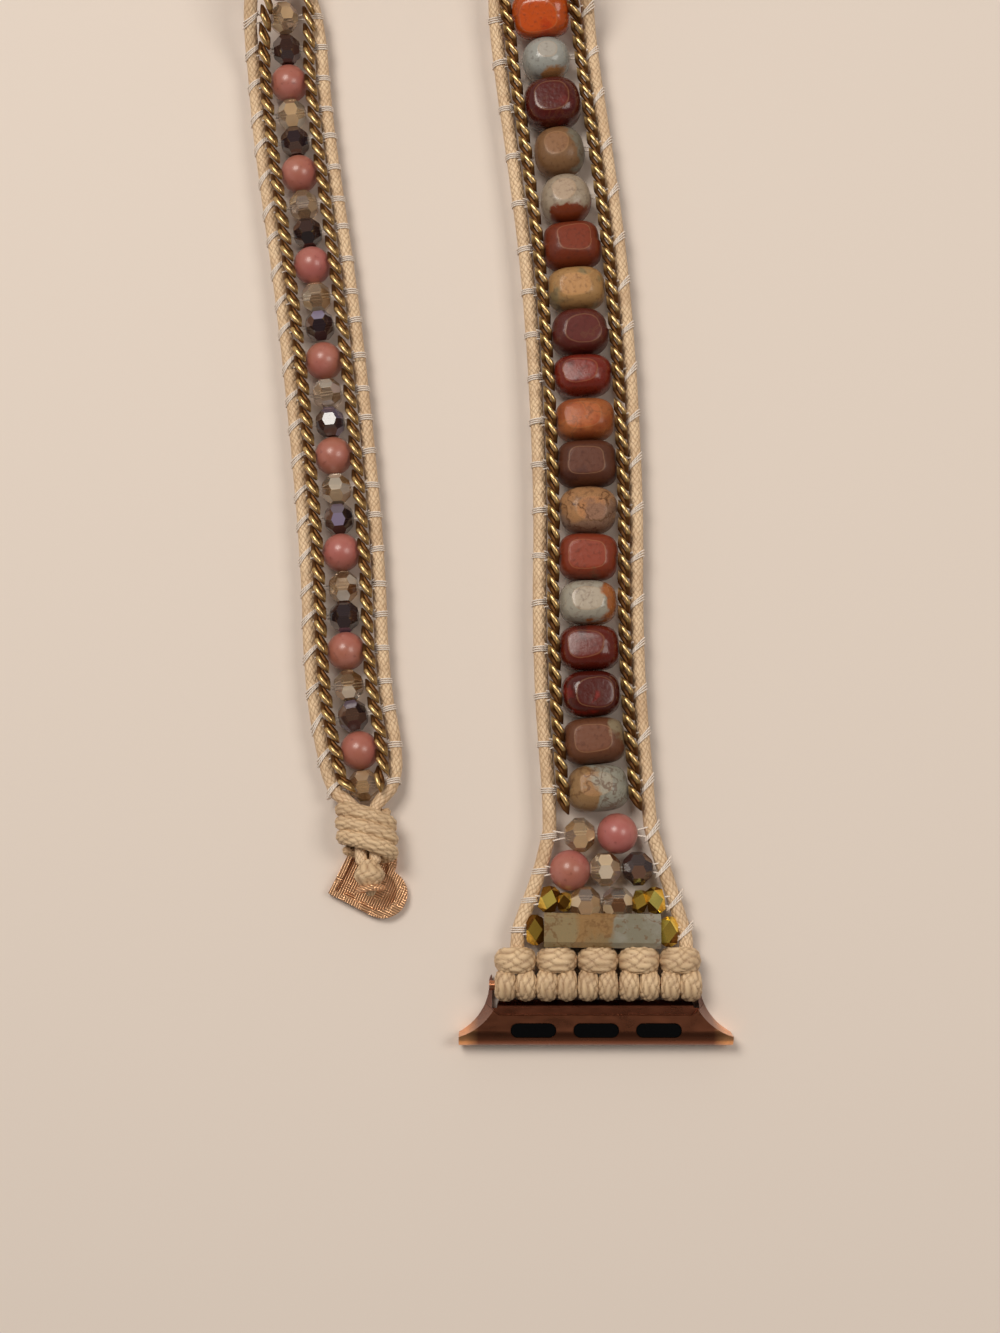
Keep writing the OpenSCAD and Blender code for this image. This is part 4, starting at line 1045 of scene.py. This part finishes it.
def cutBall():
    ball = bmesh.new()
    bmesh.ops.create_cube(ball, size=4.0)

    def grind(normal, reach):
        cut = bmesh.ops.bisect_plane(ball, geom=ball.verts[:] + ball.edges[:] + ball.faces[:],
                                     plane_co=[c * reach for c in normal], plane_no=normal, clear_outer=True)
        bmesh.ops.edgeloop_fill(ball, edges=[g for g in cut["geom_cut"] if isinstance(g, bmesh.types.BMEdge)])

    for slant, count, turn in cutSize["belts"]:
        lat = math.radians(slant)
        for j in range(count):
            lon = 2 * math.pi * (j + turn) / count
            grind((math.sin(lat), math.cos(lat) * math.sin(lon), math.cos(lat) * math.cos(lon)), cutSize["reach"])
    for sign in (-1, 1):
        grind((sign, 0, 0), cutSize["endReach"])
    bmesh.ops.recalc_face_normals(ball, faces=ball.faces[:])
    ball.verts.index_update()
    points = np.array([v.co[:] for v in ball.verts])
    faces = [[v.index for v in f.verts] for f in ball.faces]
    ball.free()
    return points, faces


ballPoints, ballFaces = cutBall()


def crystalPiece(name, spots, diameter, material, body, stands):
    # spots: (station, sideways place); each ball is turned about its bore by its own angle
    s, x = np.array(spots, float).T
    rng = np.random.default_rng(int(s[0] * 10))
    turn = rng.uniform(0, math.pi / 4, len(s))
    side, t, n = frameAt(s)
    c = place(s, x, np.zeros(len(s)))
    p = ballPoints * diameter / 2
    y = p[None, :, 1] * np.cos(turn)[:, None] - p[None, :, 2] * np.sin(turn)[:, None]
    z = p[None, :, 1] * np.sin(turn)[:, None] + p[None, :, 2] * np.cos(turn)[:, None]
    points = c[:, None] + p[None, :, :1] * side[:, None] + y[..., None] * t[:, None] + z[..., None] * n[:, None]
    mesh = bpy.data.meshes.new(name)
    mesh.from_pydata((points.reshape(-1, 3) / 1000).tolist(), [],
                     [[v + i * len(p) for v in f] for i in range(len(s)) for f in ballFaces])
    shadeFacets(mesh, rng)
    finishPiece(newObject(name, mesh), material, body, stands)


smallEnds = [0] + strap["smallCuts"] + [strap["smallCount"]]
for body, a, b in zip(bodyNames[3:7], smallEnds[:-1], smallEnds[1:]):
    for kind, name, material, slotName, node in ((0, "clearCuts", smokyCrystal, "smoky_crystal", "_crystals"),
                                                 (2, "darkCuts", darkCrystal, "dark_crystal", "_dark")):
        spots = [(smallS[i], 0) for i in range(a, b) if smallKind[i] == kind]
        crystalPiece(name + body[-1], spots, cutSize["across"], material, body, [body + node])
fanRow1, fanRow2, fanRow3 = row1 + fanShift[0], row2 + fanShift[1], row3 + fanShift[2]
fanClear = [(fanRow1, -2.6), (fanRow2, 0.44), (fanRow3 - cutSize["fanLow"], -2.15), (fanRow3 - cutSize["fanLow"], 1.95)]
crystalPiece("fanClearCuts", fanClear, cutSize["fanClear"], smokyCrystal, "strap1", ["fan_crystals"])
crystalPiece("fanDarkCuts", [(fanRow2, 4.55)], cutSize["fanDark"], darkCrystal, "strap1", ["fan_dark"])
print("crystals made")

# smooth pink rounds of the fan
pinkSize = {"radius": 2.58, "spots": [(fanRow2, -4.0), (fanRow1, 2.15)], "rings": 40, "around": 64}


def pinkPiece():
    ball = ballGrid(pinkSize["rings"], pinkSize["around"], 0.02)
    spots = np.array([place(np.array([s]), x, np.zeros(1))[0] for s, x in pinkSize["spots"]])
    piece = gridMesh("fanPinkRounds", spots[:, None, None] + ball * pinkSize["radius"])
    finishPiece(piece, pinkStone, "strap1", ["fan_pink"])


pinkPiece()

# gold nugget beads: a lozenge facet on each of four sides, small flat ends
# each bead: station, sideways place, half-width, half-length, lean in degrees
goldSpots = [(row3 - 0.6, -4.75, 0.9, 1.2, 8), (row3 - 0.45, 4.7, 1.0, 1.45, -20), (row3 - 0.3, -6.7, 1.15, 1.7, -14),
             (row3 - 0.3, 6.7, 1.1, 1.7, 10), (barBead, -8.4, 1.1, 1.9, 3), (barBead, 8.4, 1.1, 1.9, -3)]
goldSize = {"height": 0.35, "belt": 0.74, "side": 0.84, "end": 0.3}


def goldPiece():
    made = bmesh.new()
    for s, x, wide, long, leanDeg in goldSpots:
        side, t, n = [q[0] for q in frameAt(np.array([s]))]
        lean = math.radians(leanDeg)
        u, v = math.cos(lean) * side + math.sin(lean) * t, math.cos(lean) * t - math.sin(lean) * side
        c = place(np.array([s]), x, np.array([goldSize["height"]]))[0]
        corners = []
        for q in range(4):
            a, b = [(u, n), (n, -u), (-u, -n), (-n, u)][q]
            corners += [a * wide + v * long * goldSize["belt"] * e for e in (-1, 1)]
            corners += [a * wide + b * wide * goldSize["side"] * e for e in (-1, 1)]
            corners += [(a + b) * wide * goldSize["end"] + v * long * e for e in (-1, 1)]
        points = [made.verts.new((c + p) / 1000) for p in corners]
        bmesh.ops.convex_hull(made, input=points)
    bmesh.ops.dissolve_limit(made, angle_limit=math.radians(3), verts=made.verts[:], edges=made.edges[:])
    bmesh.ops.recalc_face_normals(made, faces=made.faces[:])
    mesh = bpy.data.meshes.new("goldNuggets")
    made.to_mesh(mesh)
    made.free()
    shadeFacets(mesh, np.random.default_rng(11))
    finishPiece(newObject("goldNuggets", mesh), goldBead, "strap1", ["fan_gold"])


goldPiece()
print("gold beads made")

# hitches on the bar: two plaited lobes over the bar and one plaited bump behind them
hitchSize = {"lobeHalf": 1.28, "lobeThick": 0.9, "lobeRound": 1.32, "bumpHalf": 1.54, "bumpThick": 1.0, "sides": 56,
             "steps": 96,
             "centreX": 0.3, "lobeX": 1.26, "bumpX": 1.58, "bumpY": 3.05, "bumpTurn": 1.72}


def hitchPiece():
    count = strap["hitches"]
    centres = np.stack([hitchSize["centreX"] + np.arange(count) * strap["hitchPitch"] - hitchHalf,
                        np.full(count, strap["barY"]), np.full(count, strap["barZ"])], -1)
    a = np.radians(np.linspace(28, 292, hitchSize["steps"]))
    lobes = []
    for e in (-1, 1):
        wave = np.stack([np.full(len(a), e * hitchSize["lobeX"]), hitchSize["lobeRound"] * np.cos(a) + 0.25,
                         hitchSize["lobeRound"] * np.sin(a) - 0.05], -1)
        lobes += [c + wave for c in centres]
    paths = np.array(lobes)
    rng = np.random.default_rng(5)
    swell = 1 - 0.16 * np.abs(np.linspace(-1, 1, hitchSize["steps"])) ** 4
    widths = (np.stack([hitchSize["lobeHalf"] * swell, hitchSize["lobeThick"] * swell], -1)
              * rng.uniform(0.94, 1.03, (2 * count, 1, 1)))
    grid, height = plaited(paths, np.array([1.0, 0.0, 0.0]), widths, hitchSize["sides"], fatLook, 21)
    lobePiece = gridMesh("hitchLobes", grid, uv=lengths(paths), attributes={"plait": height})
    b = np.linspace(-1, 1, hitchSize["steps"])
    bump = np.stack([hitchSize["bumpX"] * np.sin(b * hitchSize["bumpTurn"]) / math.sin(hitchSize["bumpTurn"]),
                     np.full(len(b), hitchSize["bumpY"]), 1.6 - 2.6 * np.abs(b) ** 2.6], -1)
    bumps = np.array([c + bump for c in centres])
    widths = (np.stack([hitchSize["bumpHalf"] * (1 - 0.12 * b ** 4), np.full(len(b), hitchSize["bumpThick"])], -1)
              * rng.uniform(0.95, 1.04, (count, 1, 1)))
    grid, height = plaited(bumps, np.array([0.0, 1.0, 0.0]), widths, hitchSize["sides"], fatLook, 22)
    bumpPiece = gridMesh("hitchBumps", grid, uv=lengths(bumps), attributes={"plait": height})
    finishPiece(lobePiece, fatCord, "strap1", ["hitch_cord"])
    finishPiece(bumpPiece, fatCord, "strap1")


hitchPiece()

# wrapping knot: one plaited cord in slanted turns round the two cords
knotSize = {"turns": 3.5, "long": 6.2, "half": 0.98, "thick": 1.0, "slant": 0.3, "x": 2.7, "z": 1.7, "shift": -0.35,
            "sides": 48, "loopR": 0.82, "stopperR": 1.05}


def atFrame(s, local):
    side, t, n = [q[0] for q in frameAt(np.array([s]))]
    return middle(s) + local[..., :1] * side + local[..., 1:2] * t + local[..., 2:] * n


def knotPiece():
    a = np.radians(np.arange(0, 360 * knotSize["turns"] + 1, 2.5))
    q = a / a[-1]
    swell = 1 + 0.08 * np.sin(q * math.pi)
    local = np.stack([-knotSize["x"] * swell * np.cos(a),
                      knotSize["long"] * (q - 0.5) + knotSize["shift"] + knotSize["slant"] * knotSize["x"] * np.cos(a),
                      -knotSize["z"] * swell * np.sin(a)], -1)
    path = atFrame(knotS, local)[None]
    ends = np.minimum(1, 0.45 + 6 * np.minimum(q, 1 - q))
    along = frameAt(np.array([knotS]))[1][0]
    widths = np.stack([knotSize["half"] * ends, knotSize["thick"] * ends], -1)
    grid, height = plaited(path, along, widths, knotSize["sides"], fatLook, 23)
    piece = gridMesh("wrapKnot", grid, uv=lengths(path), attributes={"plait": height})
    finishPiece(piece, fatCord, "knot", ["wrap_knot"])
    # cord through the shank, swelling into the stopper and ending in a cut tail
    s = np.linspace(loopS - 0.3, shankS + 0.9, 90)
    r = ((knotSize["loopR"] + knotSize["stopperR"] * np.exp(-((s - bulgeS - 0.3) / 1.3) ** 2))
         * np.sqrt(np.clip((shankS + 1.1 - s) / 1.4, 0.05, 1)))
    path = middle(s)[None]
    grid, height = plaited(path, np.array([0.0, 0.0, 1.0]), r[None], knotSize["sides"], fatLook, 24)
    piece = gridMesh("loopCord", grid, uv=lengths(path), attributes={"plait": height})
    finishPiece(piece, fatCord, "knot", ["loop_cord"])


knotPiece()
print("knots made")

# leaf spring under the lock button
springSize = {"half": 2.05, "y": -0.55, "foot": 1.38, "rise": 0.78, "width": 0.9, "thick": 0.08, "steps": 24,
              "keep": 0.4, "floor": 1.32}


def springPiece():
    # an arch of height rise * (1 - (x / half)^2)
    x = np.linspace(-springSize["half"], springSize["half"], springSize["steps"])
    arch = springSize["foot"] + springSize["rise"] * (1 - (x / springSize["half"]) ** 2)
    path = np.stack([x, np.full(len(x), springSize["y"]), arch], -1)[None]
    widths = np.broadcast_to([springSize["width"], springSize["thick"]], (1, len(x), 2))
    piece = gridMesh("leafSpring", tubes(path, np.array([0.0, 1.0, 0.0]), widths, 4), smooth=False)
    finishPiece(piece, springSteel, "adapter", ["lock_spring"])
    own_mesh(piece)


springPiece()

# lip of the adapter below the hitches: a slim bar with slanted ends
# outline: (y, z) of the slim bar's section; its half-length at each point is half - taper * y
lipSize = {"outline": [(1.5, 0.5), (3.2, 0.5), (3.05, 1.0), (2.5, 1.5), (2.45, 2.05), (1.5, 2.05)], "half": 12.95,
           "taper": 0.25, "bevel": 0.12}


def lipPiece():
    spots = [(e * (lipSize["half"] - lipSize["taper"] * y), y, z) for e in (-1, 1) for y, z in lipSize["outline"]]
    faces = [(5, 4, 3, 2, 1, 0), (6, 7, 8, 9, 10, 11)] + [(i, (i + 1) % 6, (i + 1) % 6 + 6, i + 6) for i in range(6)]
    mesh = bpy.data.meshes.new("adapterLip")
    mesh.from_pydata([tuple(c / 1000 for c in spot) for spot in spots], [], faces)
    made = bmesh.new()
    made.from_mesh(mesh)
    bmesh.ops.recalc_face_normals(made, faces=made.faces[:])
    bmesh.ops.bevel(made, geom=made.edges[:], offset=lipSize["bevel"] / 1000, segments=2, affect="EDGES")
    made.to_mesh(mesh)
    made.free()
    finishPiece(newObject("adapterLip", mesh), adapterMetal, "adapter")


lipPiece()

# nodes of the frame that keep their own shape
looks = {"adapter_body": adapterMetal, "adapter_bar": roseGold, "heart_button": heartMetal, "friction_pads": padRubber,
         "lock_button": buttonBlack,
         "fan_pink": pinkStone, "stone_bar": bandedStone}
looks.update({n: pinkStone for n in nodes if n.endswith("_pink")})
for name, material in looks.items():
    nodes[name].data.materials.clear()
    nodes[name].data.materials.append(material)

# floor, light and camera
studio = {"floor": tint(223, 210, 199), "world": (1.0, 0.96, 0.92, 1.0), "worldLevel": 0.42, "ceiling": 0.12,
          "lens": 51.3,
          "floorHalf": 1.5, "lampColour": (1.0, 0.95, 0.88), "lampAim": (-0.012, 0.06, 0.0),
          # name, place, size, power
          "lamps": [("keyLight", (-0.2, 0.25, 0.52), 0.24, 2.16), ("fillLight", (0.32, 0.08, 0.52), 0.26, 1.242)],
          "camera": (-0.01195, 0.00721, 0.2437), "look": (0.0, 0.1564, -0.9877)}


def studioPiece():
    mesh = bpy.data.meshes.new("floor")
    half = studio["floorHalf"]
    mesh.from_pydata([(-half, -half, 0), (half, -half, 0), (half, half, 0), (-half, half, 0)], [], [(0, 1, 2, 3)])
    floor = newObject("floor", mesh)
    material = newMaterial("floorPaper", Base_Color=studio["floor"], Roughness=0.75, Specular_IOR_Level=0.2)[0]
    mesh.materials.append(material)
    world = bpy.data.worlds.new("studio")
    world.use_nodes = True
    sky = world.node_tree
    upward = axes(sky, addNode(sky, "TexCoord").outputs["Generated"])
    height = spread(sky, upward[2], 0.25, 0.95, 1.0, studio["ceiling"])
    sideways = spread(sky, minus(sky, upward[1], upward[0]), -0.9, 0.9, 0.6, 1.3)
    sky.nodes["Background"].inputs[0].default_value = studio["world"]
    sky.links.new(times(sky, times(sky, height, sideways), studio["worldLevel"]), sky.nodes["Background"].inputs[1])
    bpy.context.scene.world = world
    for name, spot, size, power in studio["lamps"]:
        lamp = bpy.data.lights.new(name, "AREA")
        lamp.size, lamp.energy, lamp.color = size, power, studio["lampColour"]
        thing = newObject(name, lamp)
        thing.location = spot
        thing.rotation_euler = (Vector(studio["lampAim"]) - Vector(spot)).to_track_quat("-Z", "Y").to_euler()
    camera = bpy.data.cameras.new("view")
    camera.lens, camera.sensor_width, camera.clip_start = studio["lens"], 36.0, 0.01
    thing = newObject("view", camera)
    thing.location = studio["camera"]
    thing.rotation_euler = Vector(studio["look"]).to_track_quat("-Z", "Y").to_euler()
    bpy.context.scene.camera = thing
    bpy.context.scene.view_settings.view_transform = "Standard"


studioPiece()
print("studio made")
